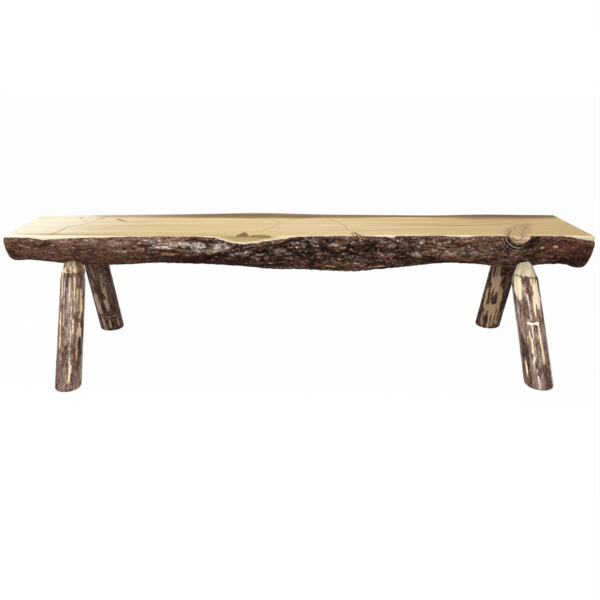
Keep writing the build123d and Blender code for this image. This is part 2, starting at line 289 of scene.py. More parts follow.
# A pole: the height of its bark's ragged edge, how ragged that is, its bare patches, dark stains, amber
# flakes, knots and whorls, how readily bark is missing elsewhere, and its colours.
Pole = namedtuple("Pole", "edge ragged patches stains flakes knots whorls bareness look")
POLES = {
    "front_left": Pole(
        336, 4.5,
        [
            Patch(330, -37, 262, -35, 9), Patch(318, 2, 262, 4, 4.5), Patch(318, 22, 250, 24, 4),
            Patch(290, 36, 228, 38, 6), Patch(284, 58, 214, 62, 13), Patch(212, 58, 150, 58, 13),
            Patch(225, -36, 128, -33, 9), Patch(214, -17, 184, -18, 4), Patch(204, 25, 162, 26, 7),
            Patch(176, 44, 92, 45, 5), Patch(74, 18, 22, 16, 7), Patch(330, -66, 300, -62, 9),
            # The patch reaching 384 high runs into the shoulder, where it makes a painted highlight.
            Patch(384, -50, 326, -46, 20), Patch(260, 100, 170, 96, 12), Patch(150, 118, 60, 112, 14),
            Patch(300, 150, 215, 156, 16), Patch(190, 178, 90, 172, 12), Patch(120, -112, 30, -118, 13),
            Patch(280, -96, 190, -92, 10), Patch(90, 80, 20, 84, 7), Patch(250, -150, 150, -146, 15),
        ],
        [Patch(208, 66, 176, 64, 6), Patch(300, -14, 240, -12, 4), Patch(140, 60, 60, 66, 14)],
        [], [Knot(196, 55, 5, 8), Knot(118, 160, 7, 8), Knot(250, -120, 6, 7)],
        [], 0.24, POLE_FINISHES[0],
    ),
    "front_right": Pole(
        325, 5.5,
        [
            Patch(322, -64, 248, -56, 25), Patch(312, 10, 232, 16, 27), Patch(322, -4, 300, -2, 8),
            Patch(300, -36, 280, -34, 5), Patch(196, 7, 74, 14, 8),
            Patch(154, -24, 106, -24, 6), Patch(96, -24, 52, -25, 4), Patch(150, -42, 128, -43, 4),
            Patch(236, -2, 212, 0, 6), Patch(300, 70, 190, 78, 18), Patch(160, 96, 70, 92, 15),
            Patch(310, 132, 230, 126, 18), Patch(200, 160, 120, 166, 20), Patch(110, -158, 25, -150, 14),
            Patch(290, -130, 200, -124, 16), Patch(180, -98, 90, -104, 10), Patch(60, 50, 12, 54, 7),
        ],
        [Patch(250, -56, 226, -52, 6), Patch(128, -52, 64, -48, 12), Patch(186, -12, 180, 2, 16),
         Patch(84, -20, 60, -16, 5), Patch(72, 12, 44, 15, 9), Patch(150, -66, 90, -64, 7)],
        [Patch(76, 10, 48, 14, 6)],
        [Knot(303, -20, 6, 8), Knot(287, -22, 6, 8), Knot(214, 120, 8, 9), Knot(90, -120, 7, 8)],
        [Whorl(192, -13, 24, 4.5)], 0.24, POLE_FINISHES[1],
    ),
    "rear_left": Pole(
        325, 3.0,
        [
            Patch(170, -30, 84, -26, 19), Patch(250, 17, 166, 13, 4), Patch(190, 22, 112, 24, 6),
            Patch(146, 12, 100, 19, 10), Patch(56, -19, 8, -16, 7), Patch(60, 11, 14, 9, 6),
            Patch(58, 49, 20, 53, 6), Patch(290, -16, 240, -12, 3), Patch(290, 120, 190, 126, 16),
            Patch(170, 150, 80, 146, 18), Patch(300, -160, 220, -156, 14), Patch(180, -130, 70, -136, 16),
            Patch(120, 92, 40, 96, 10), Patch(260, -90, 190, -84, 9), Patch(300, 178, 250, 178, 12),
        ],
        [Patch(126, -4, 88, -2, 8), Patch(170, 0, 140, 2, 6)],
        [], [Knot(70, -28, 5, 5), Knot(69, -4, 4, 4), Knot(70, 24, 5, 5), Knot(200, 140, 8, 9)],
        [Whorl(67, 8, 52, 2.6)], 0.22, POLE_FINISHES[2],
    ),
    "rear_right": Pole(
        330, 3.0,
        [
            Patch(292, -70, 214, -58, 4), Patch(296, -50, 216, -41, 4), Patch(300, -38, 214, -27, 5),
            Patch(236, -34, 166, -30, 36), Patch(182, -68, 92, -56, 15), Patch(176, -44, 100, -32, 5),
            Patch(192, -8, 92, 2, 17), Patch(118, -48, 64, -40, 18), Patch(118, -20, 62, -14, 22),
            Patch(66, -24, 12, -19, 6), Patch(72, -8, 14, -4, 7), Patch(80, 9, 28, 8, 11),
            Patch(58, -58, 18, -52, 6), Patch(280, 60, 180, 66, 12), Patch(150, 84, 50, 80, 15),
            Patch(300, 130, 200, 126, 18), Patch(170, 160, 90, 154, 18), Patch(290, -170, 190, -166, 14),
            Patch(160, -140, 60, -136, 17), Patch(250, -110, 170, -106, 10),
        ],
        [Patch(84, -38, 24, -28, 8), Patch(160, -52, 110, -46, 5), Patch(176, -20, 122, -14, 8)],
        [], [Knot(150, 120, 8, 9), Knot(230, 170, 7, 8)],
        [], 0.22, POLE_FINISHES[3],
    ),
}

# The lamps, which are named as their powers are, and the camera, in metres. The camera's sensor and lens
# are in millimetres.
Lamp = namedtuple("Lamp", "name place aim size")
LAMPS = (
    Lamp("key", (-1.3, -2.7, 2.1), (0.0, 0.0, 0.3), (1.6, 1.2)),
    Lamp("strip", (0.05, -2.9, 1.0), (0.0, 0.0, 0.3), (0.7, 1.8)),
    Lamp("overhead", (0.0, 0.3, 2.6), (0.0, 0.0, 0.4), (2.6, 1.6)),
    Lamp("window", (-1.7, 2.6, 1.05), (-0.8, 0.0, 0.45), (1.3, 0.6)),
    Lamp("side", (-2.3, -0.9, 0.75), (-0.7, -0.1, 0.35), (0.5, 0.5)),
)
CAMERA_PLACE = (-0.045, -2.269, 0.920)
CAMERA_DIP = 18  # degrees below level
CAMERA_SENSOR, CAMERA_LENS = 36.0, 41.4
CAMERA_SHIFT = (0.025, 0.005)
FLOOR_SIZE = 40


def table_at(table, x):
    """A table's value at each place along the bench, in millimetres, smooth between its entries."""
    places, values = np.array(table, float).T
    step = np.clip(np.searchsorted(places, x) - 1, 0, len(places) - 2)
    share = np.clip((x - places[step]) / (places[step + 1] - places[step]), 0, 1)
    share = share * share * (3 - 2 * share)
    return values[step] * (1 - share) + values[step + 1] * share


def smooth(value, low, high):
    """0 below low, 1 above high, and a smooth ramp between them."""
    share = np.clip((value - low) / (high - low), 0, 1)
    return share * share * (3 - 2 * share)


def scatter(cells, seed):
    """A repeatable random number from 0 to 1 for each lattice cell."""
    mixed = np.uint64(seed * 7919 + 17)
    for column, prime in zip(cells.astype(np.int64).T, (374761393, 668265263, 2246822519)):
        mixed = (mixed ^ (column.astype(np.uint64) * np.uint64(prime))) & np.uint64(0xFFFFFFFF)
        mixed = (mixed * np.uint64(2654435761)) & np.uint64(0xFFFFFFFF)
        mixed = mixed ^ (mixed >> np.uint64(15))
    return (mixed & np.uint64(0xFFFFFF)).astype(float) / 0xFFFFFF


def lumps(points, size, seed, octaves=1):
    """Smooth noise from -1 to 1, with lumps of the given size along each axis."""
    total, weight = np.zeros(len(points)), 0.0
    for octave in range(octaves):
        at = points / (np.array(size, float) / 2**octave) + 31.7 * octave
        base = np.floor(at)
        part = at - base
        part = part * part * (3 - 2 * part)
        value = np.zeros(len(points))
        for corner in np.ndindex(2, 2, 2):
            corner = np.array(corner)
            near = np.prod(np.where(corner, part, 1 - part), axis=1)
            value += near * scatter(base + corner, seed + octave)
        total += (2 * value - 1) / 2**octave
        weight += 1 / 2**octave
    return total / weight


def plates(points, size, seed):
    """Broken plates: each point's plate as a random number, and how far the plate's edge is."""
    at = points / np.array(size, float)
    base = np.floor(at)
    first = np.full(len(points), 9.0)
    second = np.full(len(points), 9.0)
    name = np.zeros(len(points))
    for corner in np.ndindex(3, 3, 3):
        cell = base + np.array(corner) - 1
        seat = cell + np.stack([scatter(cell, seed + k) for k in (1, 2, 3)], axis=1)
        gap = np.linalg.norm(at - seat, axis=1)
        closer = gap < first
        second = np.where(closer, first, np.minimum(second, gap))
        name = np.where(closer, scatter(cell, seed + 4), name)
        first = np.where(closer, gap, first)
    return name, second - first


def along_path(x, z, points):
    """The distance to a path, and on which side of it each place lies: 1 above it, -1 below."""
    best, side = np.full(len(x), 1e9), np.zeros(len(x))
    for (x0, z0), (x1, z1) in zip(points, points[1:]):
        run, climb = x1 - x0, z1 - z0
        along = np.clip(((x - x0) * run + (z - z0) * climb) / (run**2 + climb**2), 0, 1)
        dx, dz = x - x0 - along * run, z - z0 - along * climb
        gap = np.hypot(dx, dz)
        closer = gap < best
        side = np.where(closer, np.sign(dz * run - dx * climb), side)
        best = np.where(closer, gap, best)
    return best, side


# ---------------------------------------------------------------- reading the solid model's surfaces
def search_tree(name):
    """A search tree over a CAD node's triangles, for finding points on its surface."""
    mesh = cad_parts[name].data
    return BVHTree.FromPolygons([v.co for v in mesh.vertices], [list(p.vertices) for p in mesh.polygons])


def reach(tree, centre, outward, start):
    """How far a node's surface lies from centre, found from outside, and how much it faces up."""
    spot, facing, _, gap = tree.ray_cast(centre + outward * start, -outward)
    return (start - gap, facing.z) if spot else (np.nan, 0.0)


def fill_gaps(grid):
    """Fills a grid's missing values smoothly from the ones round them."""
    missing = np.isnan(grid)
    rows = np.arange(grid.shape[1])
    for line in grid:
        known = ~np.isnan(line)
        line[~known] = np.interp(rows[~known], rows[known], line[known])
    for _ in range(250):
        padded = np.pad(grid, 1, mode="edge")
        mean = (padded[:-2, 1:-1] + padded[2:, 1:-1] + padded[1:-1, :-2] + padded[1:-1, 2:]) / 4
        grid[missing] = mean[missing]
    return grid


def leg_axis(name):
    """The middle of a leg's foot, and the middle of its tenon's wedge, which lies on its line."""
    foot = [v.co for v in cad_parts["leg_" + name].data.vertices if v.co.z < 0.5 * MM]
    low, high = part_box("tenon_wedge_" + name)
    return sum(foot, Vector()) / len(foot), (low + high) / 2


# ---------------------------------------------------------------- making pieces
def piece_from(mesh, name, material, slot, *nodes):
    """A finished piece from a mesh: its material, its body and what it stands for."""
    piece = bpy.data.objects.new(name, mesh)
    bpy.context.scene.collection.objects.link(piece)
    mesh.materials.append(material)
    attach(piece, "root")
    if nodes:
        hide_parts(*nodes)
    return piece


def set_field(mesh, name, values):
    """Stores a number for each point of a mesh, which its material can read."""
    field = mesh.attributes.new(name, "FLOAT", "POINT")
    padded = np.zeros(len(mesh.vertices), np.float32)
    padded[: len(values)] = values
    field.data.foreach_set("value", padded)


def shade_smooth(mesh, angle=None):
    """Smooth shading, except across edges sharper than angle."""
    mesh.shade_smooth()
    if angle is not None:
        mesh.set_sharp_from_angle(angle=radians(angle))


# ---------------------------------------------------------------- the log's bark
def bark_stations():
    """Places along the bench for the bark's cross-sections, closer together round the stub."""
    edges = [-HALF_LENGTH, (STUB.x - STUB_MARGIN) * MM, (STUB.x + STUB_MARGIN) * MM, HALF_LENGTH]
    spacing = [STATION_GAP * MM, STUB_STATION_GAP * MM, STATION_GAP * MM]
    runs = [
        np.linspace(low, high, int(round((high - low) / step)) + 1)[:-1]
        for low, high, step in zip(edges, edges[1:], spacing)
    ]
    return np.append(np.concatenate(runs), HALF_LENGTH)


def polar_grid(name, stations, turns, centre_y, least):
    """A log node's surface round its length: its reach at each station and turn from the front.

    What is nearer than least, in millimetres, is the sawn top or a bore, and is filled in from around it.
    """
    tree = search_tree(name)
    grid = np.full((len(stations), len(turns)), np.nan)
    axes = [leg_axis(leg) for leg in LEGS]
    for i, x in enumerate(stations):
        centre = Vector((np.clip(x, -HALF_LENGTH + MM, HALF_LENGTH - MM), centre_y, SEAT_TOP))
        for j, turn in enumerate(turns):
            outward = Vector((0, -np.cos(turn), -np.sin(turn)))
            gap, up = reach(tree, centre, outward, LOG_RAY)
            spot = centre + outward * gap
            bored = any(
                ((spot - foot).cross(head - foot)).length / (head - foot).length < BORE_CLEARANCE * MM
                for foot, head in axes
                if abs(x - foot.x) < BORE_REACH * MM and not np.isnan(gap)
            )
            faces_out = up < 0.3
            if gap > least * MM and faces_out and not bored:
                grid[i, j] = gap
    return fill_gaps(grid)


def bark_blank(stations, rows, kept_inside):
    """A half tube of radius 1 along X, open upwards, with a coarse inner wall of radius 0.5."""
    bm = bmesh.new()
    verts = [bm.verts.new((x, -1, 0)) for x in stations]
    edges = [bm.edges.new(pair) for pair in zip(verts, verts[1:])]
    bmesh.ops.spin(
        bm, geom=verts + edges, cent=(0, 0, 0), axis=(1, 0, 0), angle=pi, steps=rows, use_merge=False
    )
    wall = bmesh.ops.extrude_face_region(bm, geom=bm.faces[:], use_keep_orig=True)
    inner = [v for v in wall["geom"] if isinstance(v, bmesh.types.BMVert)]
    bmesh.ops.scale(bm, vec=(1, 0.5, 0.5), verts=inner)
    bm.verts.index_update()
    held = set(inner)
    row_of = {v: int(round(np.arctan2(-v.co.z, -v.co.y) / pi * rows)) for v in inner}
    spare = [
        e
        for e in bm.edges
        if e.verts[0] in held
        and e.verts[1] in held
        and row_of[e.verts[0]] == row_of[e.verts[1]]
        and row_of[e.verts[0]] % kept_inside
        and row_of[e.verts[0]] != rows
    ]
    bmesh.ops.dissolve_edges(bm, edges=spare, use_verts=True)
    bmesh.ops.recalc_face_normals(bm, faces=bm.faces[:])
    return bm


def reach_at(grid, station, turn):
    """A log surface's reach at some stations and turns, from its grid of reaches."""
    last = grid.shape[1] - 1
    step = np.clip(turn / pi * last, 0, last - 0.001)
    first = step.astype(int)
    return grid[station, first] * (1 - step + first) + grid[station, first + 1] * (step - first)


def rim_turns(stations, outside):
    """The turns at which the bark ends under the top's front edge and under its rear edge."""
    x = stations / MM
    wander = 1.3 * lumps(np.stack([x, 0 * x, 0 * x], axis=1), (22, 9, 9), 81, 2)
    front_drop = table_at(FRONT_RIM, x) + wander
    hole = STUB.radius + 1.0
    notch = STUB.z - np.sqrt(np.clip(hole**2 - (x - STUB.x) ** 2, 0, None))
    in_stub = np.abs(x - STUB.x) < hole
    front_drop = np.where(in_stub, np.maximum(front_drop, SEAT_TOP / MM - notch), front_drop)
    rear_drop = table_at(REAR_RIM, x) - wander
    every = np.arange(len(stations))
    near_rim = np.full(len(stations), RIM_TURN)
    front_turn = np.arcsin(front_drop * MM / reach_at(outside, every, near_rim))
    rear_turn = np.arcsin(rear_drop * MM / reach_at(outside, every, pi - near_rim))
    return front_turn, rear_turn


def plate_relief(mm, lively):
    """The bark's broken plates, flakes and furrows: their rise, their creases and each flake's number."""
    warp = [9 * lumps(mm, (34, 22, 22), seed) + 4 * lumps(mm, (12, 9, 9), seed + 90) for seed in (3, 4, 5)]
    warped = mm + np.stack(warp, axis=1)
    plate, edge = plates(warped, (40, 15, 15), 11)
    flake, flake_edge = plates(warped + 400, (14, 7.5, 7.5), 23)
    cracked = smooth(lumps(mm, (46, 26, 26), 91, 2), -0.25, 0.35)
    furrow = np.abs(lumps(warped, (60, 13, 13), 44, 2))
    rise = 2.4 * lumps(mm, (95, 55, 55), 41, 2)
    block = 2.2 * (plate - 0.5) * smooth(edge, 0.02, 0.25)
    rise += lively * (block - 1.6 * cracked * (1 - smooth(edge, 0, 0.16)))
    rise += lively * 1.7 * (flake - 0.5) * smooth(flake_edge, 0, 0.2)
    rise += lively * (1.5 * lumps(mm, (17, 9, 9), 51, 2) + 3.2 * smooth(furrow, 0, 0.22) - 2.6)
    # The cracked edges of the plates and the furrows are the creases, which get painted shade.
    crease = np.maximum(cracked * (1 - smooth(edge, 0, 0.17)), 0.85 * (1 - smooth(furrow, 0.01, 0.075)))
    return rise, crease, flake


def add_humps(mm, rise, crease, strength):
    """Raises the front's humps, each one with rings on it and a trench round it."""
    x, y, z = mm.T
    front = y < 0
    uneven = 0.16 * lumps(mm, (13, 9, 9), 64, 2)
    for hump in HUMPS:
        away = np.hypot((x - hump.x) / hump.long, (z - hump.z) / hump.tall) + uneven
        dome = np.clip(1 - away**2, 0, 1) ** 0.6
        whirl = 0.16 * np.cos(away * 15) * smooth(1.1 - away, 0, 0.4)
        trench = 0.45 * np.exp(-(((away - 1.15) / 0.15) ** 2))
        rise += np.where(front, hump.rise * strength * (dome + whirl - trench), 0)
        # A ring of painted shade in each hump's trench.
        crease = np.maximum(crease, np.where(front, np.exp(-(((away - 1.12) / 0.12) ** 2)), 0))
    return rise, crease


def add_folds(mm, rise, crease, strength):
    """Laps the bark above each of the front's folds over the bark below it."""
    x, y, z = mm.T
    front = y < 0
    bent_x = x + 4 * lumps(mm, (20, 20, 20), 61)
    bent_z = z + 3 * lumps(mm, (16, 16, 16), 62, 2)
    for fold in FOLDS:
        away, side = along_path(bent_x, bent_z, fold.points)
        lap = fold.lap * strength * np.where(side > 0, np.exp(-away / 11), -0.9 * np.exp(-away / 8))
        rise += np.where(front, lap, 0)
        # Painted shadow in a strip under each lap.
        crease = np.maximum(crease, np.where(front & (side < 0), np.exp(-((away / 5.5) ** 2)), 0))
    return rise, crease


def add_stub_waves(mm, rise, crease):
    """Swells the bark in waves round the branch stub, and says where their pale lips are.

    The troughs get painted shade, and the lips painted glints.
    """
    x, y, z = mm.T
    away = np.hypot(x - STUB.x, z - STUB.z) - STUB.radius
    near = np.where((y < 0) & (away > 0), np.exp(-away / 22), 0)
    waves = np.cos(away / 10.5 * 2 * pi + 2.2 * lumps(mm, (26, 26, 26), 71))
    rise += 4.4 * near * waves * smooth(away, 2, 8)
    # The troughs of the waves get painted shade.
    crease = np.maximum(crease, smooth(near * -waves, 0.08, 0.4))
    crease *= np.where(near > 0.2, 1, table_at(CREASED, x))
    lips = smooth(near * waves * smooth(away, 3, 8), 0.25, 0.6) * smooth(x, 706, 686)
    return rise, crease, lips


def tone_fields(mm, lips):
    """Where the bark is grey with painted glints, dark, red and tan; it darkens towards the bottom as
    painted shade.
    """
    x, y, z = mm.T
    fields = {}
    for name, tones in TONES.items():
        total = np.zeros(len(x))
        for tone in tones:
            away = np.hypot((x - tone.x) / tone.long, (z - tone.z) / tone.tall)
            total = np.maximum(total, tone.strength * (1 - smooth(away, 0.3, 1.35)))
        fields[name] = np.where(y < 0, total, 0)
    # The pale lips of the waves round the stub are grey too, with painted glints.
    fields["silver"] = np.maximum(fields["silver"], 1.2 * lips)
    patchy = (0.1 + 0.15 * smooth(x, -600, -300)) * lumps(mm, (70, 30, 30), 95, 2)
    # Its last term darkens the bark towards the bottom of the log, as painted shade.
    gloom = table_at(DARKNESS, x) + patchy + 0.15 * smooth(-z, -385, -340)
    fields["dark"] = np.clip(fields["dark"] + gloom * (1 - 0.8 * np.clip(fields["silver"], 0, 1)), 0, 1)
    return fields


def bark_relief(points, below_rim, strength):
    """How far the bark stands proud at each point, in millimetres, and what its material reads."""
    mm = points / MM
    rise, crease, flake = plate_relief(mm, table_at(RELIEF, mm[:, 0]) * strength)
    rise, crease = add_humps(mm, rise, crease, strength)
    rise, crease = add_folds(mm, rise, crease, strength)
    rise, crease, lips = add_stub_waves(mm, rise, crease)
    # Towards the rim the relief fades, and the bark's cut edge is rounded over.
    rise *= 0.3 + 0.7 * smooth(below_rim, 0, 7)
    rise -= 4.0 * (1 - smooth(below_rim, -3, 6)) ** 1.5
    return rise, {"relief": rise / 5, "flake": flake, "crease": crease, **tone_fields(mm, lips)}


class LOGBENCH_OT_bark(bpy.types.Operator):
    """Lays the bark round the log, with its plates, folds and humps"""

    bl_idname = "logbench.bark"
    bl_label = "Log's bark"

    def execute(self, context):
        """Lays the bark's points on the log, and stores what its material reads."""
        look = context.scene.log_bench_bark
        stations = bark_stations()
        turns = np.linspace(0, pi, BARK_TURNS)
        low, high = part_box("seat_bark")
        centre_y = (low.y + high.y) / 2
        outside = polar_grid("seat_bark", stations, turns, centre_y, LEAST_BARK)
        inside = polar_grid("seat_log", stations, turns, centre_y, LEAST_WOOD)
        bm = bark_blank(stations, BARK_ROWS, INNER_STEP)
        mesh = bpy.data.meshes.new("log_bark")
        bm.to_mesh(mesh)
        bm.free()
        blank = np.zeros(len(mesh.vertices) * 3, np.float32)
        mesh.vertices.foreach_get("co", blank)
        blank = blank.reshape(-1, 3).astype(float)
        station = np.abs(stations[None, :] - blank[:, :1]).argmin(axis=1)
        turn = np.arctan2(-blank[:, 2], -blank[:, 1]) % (2 * pi)
        outer = np.hypot(blank[:, 1], blank[:, 2]) > 0.75

        front_turn, rear_turn = rim_turns(stations, outside)
        # The rows lie closer together towards the front, which is the side that is seen.
        share = turn / pi
        share = share * (0.72 + 0.28 * share)
        span = pi - front_turn[station] - rear_turn[station]
        at = front_turn[station] + span * share
        # The inner edge of the rim stands a little higher than the outer one.
        reach_front = reach_at(outside, np.arange(len(stations)), np.full(len(stations), RIM_TURN))
        lift = np.where(outer, 0, 3.5 * MM / reach_front[station]) * (np.cos(at) ** 3)
        at_lifted = at - lift
        reach_out = reach_at(outside, station, at)
        reach_in = np.minimum(reach_at(inside, station, np.clip(at_lifted, 0, pi)), reach_out - 3 * MM)
        across = np.where(outer, reach_out, reach_in)
        at = np.where(outer, at, at_lifted)
        points = np.stack(
            [stations[station], centre_y - np.cos(at) * across, SEAT_TOP - np.sin(at) * across], axis=1
        )
        below = np.minimum(at - front_turn[station], pi - rear_turn[station] - at) * across / MM
        rise, fields = bark_relief(points, below, look.relief)
        rise = np.where(outer, rise, 0)
        rise = np.maximum(rise, (reach_in - reach_out) / MM + 1.5)
        points[:, 1] -= np.cos(at) * rise * MM
        points[:, 2] -= np.sin(at) * rise * MM
        points[:, 2] = np.minimum(points[:, 2], SEAT_TOP - 0.8 * MM)
        mesh.vertices.foreach_set("co", points.astype(np.float32).ravel())
        mesh.update()
        # How far each point faces up, more than the smooth log does there: the material paints what faces
        # up lighter, as painted light, and puts painted glints on it.
        facing = np.zeros(len(points) * 3, np.float32)
        mesh.vertex_normals.foreach_get("vector", facing)
        fields["upward"] = np.where(outer, facing[2::3] + np.sin(at), 0)
        for name, values in fields.items():
            set_field(mesh, name, values)
        shade_smooth(mesh, 60)
        piece_from(mesh, "log_bark", bark_material(look), "bark", "seat_bark")
        return {"FINISHED"}


# ---------------------------------------------------------------- materials
class Nodes:
    """A node tree, with short calls that add nodes to it and link or set their inputs."""

    def __init__(self, tree):
        """Takes the tree that the nodes are added to."""
        self.tree = tree

    def put(self, value, socket):
        """Links a socket's value to an input socket, or sets the input to a number or a colour."""
        if isinstance(value, bpy.types.NodeSocket):
            self.tree.links.new(value, socket)
        elif socket.type == "RGBA" and len(value) == 3:
            socket.default_value = (*value, 1)
        else:
            socket.default_value = value

    def add(self, kind, inputs=None, **settings):
        """A new node with some of its settings and inputs."""
        node = self.tree.nodes.new("ShaderNode" + kind)
        for name, value in settings.items():
            setattr(node, name, value)
        for name, value in (inputs or {}).items():
            self.put(value, node.inputs[name])
        return node

    def math(self, operation, a, b=0.0, clamp=False):
        """One sum on two numbers."""
        return self.add("Math", {0: a, 1: b}, operation=operation, use_clamp=clamp).outputs[0]

    def times(self, a, b):
        """The product of two numbers."""
        return self.math("MULTIPLY", a, b)

    def swing(self, noise, amount):
        """A noise's swing to both sides of 0."""
        return self.times(self.math("SUBTRACT", noise, 0.5), amount)

    def mix(self, share, a, b):
        """Colour a, with a share of colour b over it."""
        node = self.add("Mix", data_type="RGBA", clamp_factor=True)
        for number, value in ((0, share), (6, a), (7, b)):
            self.put(value, node.inputs[number])
        return node.outputs[2]

    def ramp(self, value, low, high, to_low=0.0, to_high=1.0):
        """A smooth ramp from to_low, where the value is low, to to_high, where it is high."""
        inputs = {"Value": value, "From Min": low, "From Max": high, "To Min": to_low, "To Max": to_high}
        return self.add("MapRange", inputs, interpolation_type="SMOOTHSTEP").outputs[0]

    def place(self, vector, scale=(1, 1, 1), move=(0, 0, 0)):
        """Coordinates that are scaled along each axis and moved."""
        return self.add("Mapping", {"Vector": vector, "Scale": scale, "Location": move}).outputs[0]

    def noise(self, vector, scale, detail=3.0, roughness=0.55):
        """Smooth noise from 0 to 1."""
        inputs = {"Vector": vector, "Scale": scale, "Detail": detail, "Roughness": roughness}
        return self.add("TexNoise", inputs).outputs[0]

    def field(self, name):
        """A number that the mesh has stored for each of its points."""
        return self.add("Attribute", attribute_name=name, attribute_type="GEOMETRY").outputs["Fac"]

    def distance(self, place, centre, across):
        """How far a place is from centre, counting only the axes that have 1 in across."""
        away = self.add("VectorMath", {0: place, 1: centre}, operation="SUBTRACT").outputs[0]
        away = self.add("VectorMath", {0: away, 1: across}, operation="MULTIPLY").outputs[0]
        return self.add("VectorMath", {0: away}, operation="LENGTH").outputs["Value"]

    def group(self, tree, inputs):
        """A group's outputs, for some inputs."""
        return self.add("Group", inputs, node_tree=tree).outputs

    def seen_straight(self):
        """1 where the camera sees a surface, also through glass or in a mirror."""
        ray = self.add("LightPath").outputs
        straight = self.math("MAXIMUM", ray["Is Camera Ray"], ray["Is Transmission Ray"])
        return self.math("MAXIMUM", straight, ray["Is Glossy Ray"])


def new_group(name, inputs, outputs):
    """A shader node group, built once: its nodes, its input sockets and its output sockets."""
    tree = bpy.data.node_groups.new(name, "ShaderNodeTree")
    for title, kind in inputs:
        tree.interface.new_socket(title, in_out="INPUT", socket_type="NodeSocket" + kind)
    for title in outputs:
        tree.interface.new_socket(title, in_out="OUTPUT", socket_type="NodeSocketFloat")
    return Nodes(tree), tree.nodes.new("NodeGroupInput").outputs, tree.nodes.new("NodeGroupOutput").inputs


def bark_skin():
    """A group for bark: broad blotches, fine grit and sparse flecks, on coordinates drawn out along it."""
    if "Bark skin" in bpy.data.node_groups:
        return bpy.data.node_groups["Bark skin"]
    nodes, given, made = new_group("Bark skin", [("Place", "Vector")], ["Blotch", "Grit", "Fleck"])
    place = given["Place"]
    nodes.put(nodes.ramp(nodes.noise(place, 46, 5, 0.62), 0.36, 0.64), made["Blotch"])
    nodes.put(nodes.ramp(nodes.noise(place, 230, 6, 0.72), 0.34, 0.68), made["Grit"])
    nodes.put(nodes.ramp(nodes.noise(place, 150, 4, 0.68), 0.55, 0.64), made["Fleck"])
    return nodes.tree


def wood_fibre():
    """A group for bare wood: fine fibres, and broader streaks, on coordinates drawn out along the grain."""
    if "Wood fibre" in bpy.data.node_groups:
        return bpy.data.node_groups["Wood fibre"]
    nodes, given, made = new_group("Wood fibre", [("Place", "Vector")], ["Fibre", "Streak"])
    place = given["Place"]
    nodes.put(nodes.ramp(nodes.noise(place, 620, 3, 0.6), 0.35, 0.65), made["Fibre"])
    nodes.put(nodes.ramp(nodes.noise(place, 85, 4, 0.6), 0.35, 0.66), made["Streak"])
    return nodes.tree


def new_material(name):
    """A material with an empty tree: the tree's nodes, its shader and its place coordinates."""
    material = bpy.data.materials.new(name)
    material.use_nodes = True
    nodes = Nodes(material.node_tree)
    shader = material.node_tree.nodes["Principled BSDF"]
    here = nodes.add("TexCoord").outputs["Object"]
    return material, nodes, shader, here


def finish_surface(nodes, shader, color, roughness, height, depth, coat, specular=0.0, satin=0.12):
    """Links a surface's colour, roughness and height to its shader, under a coat of varnish."""
    nodes.put(color, shader.inputs["Base Color"])
    nodes.put(roughness, shader.inputs["Roughness"])
    bump = nodes.add("Bump", {"Height": height, "Strength": 1.0, "Distance": depth})
    nodes.put(bump.outputs[0], shader.inputs["Normal"])
    nodes.put(coat, shader.inputs["Coat Weight"])
    shader.inputs["Coat Roughness"].default_value = satin
    shader.inputs["Specular IOR Level"].default_value = specular


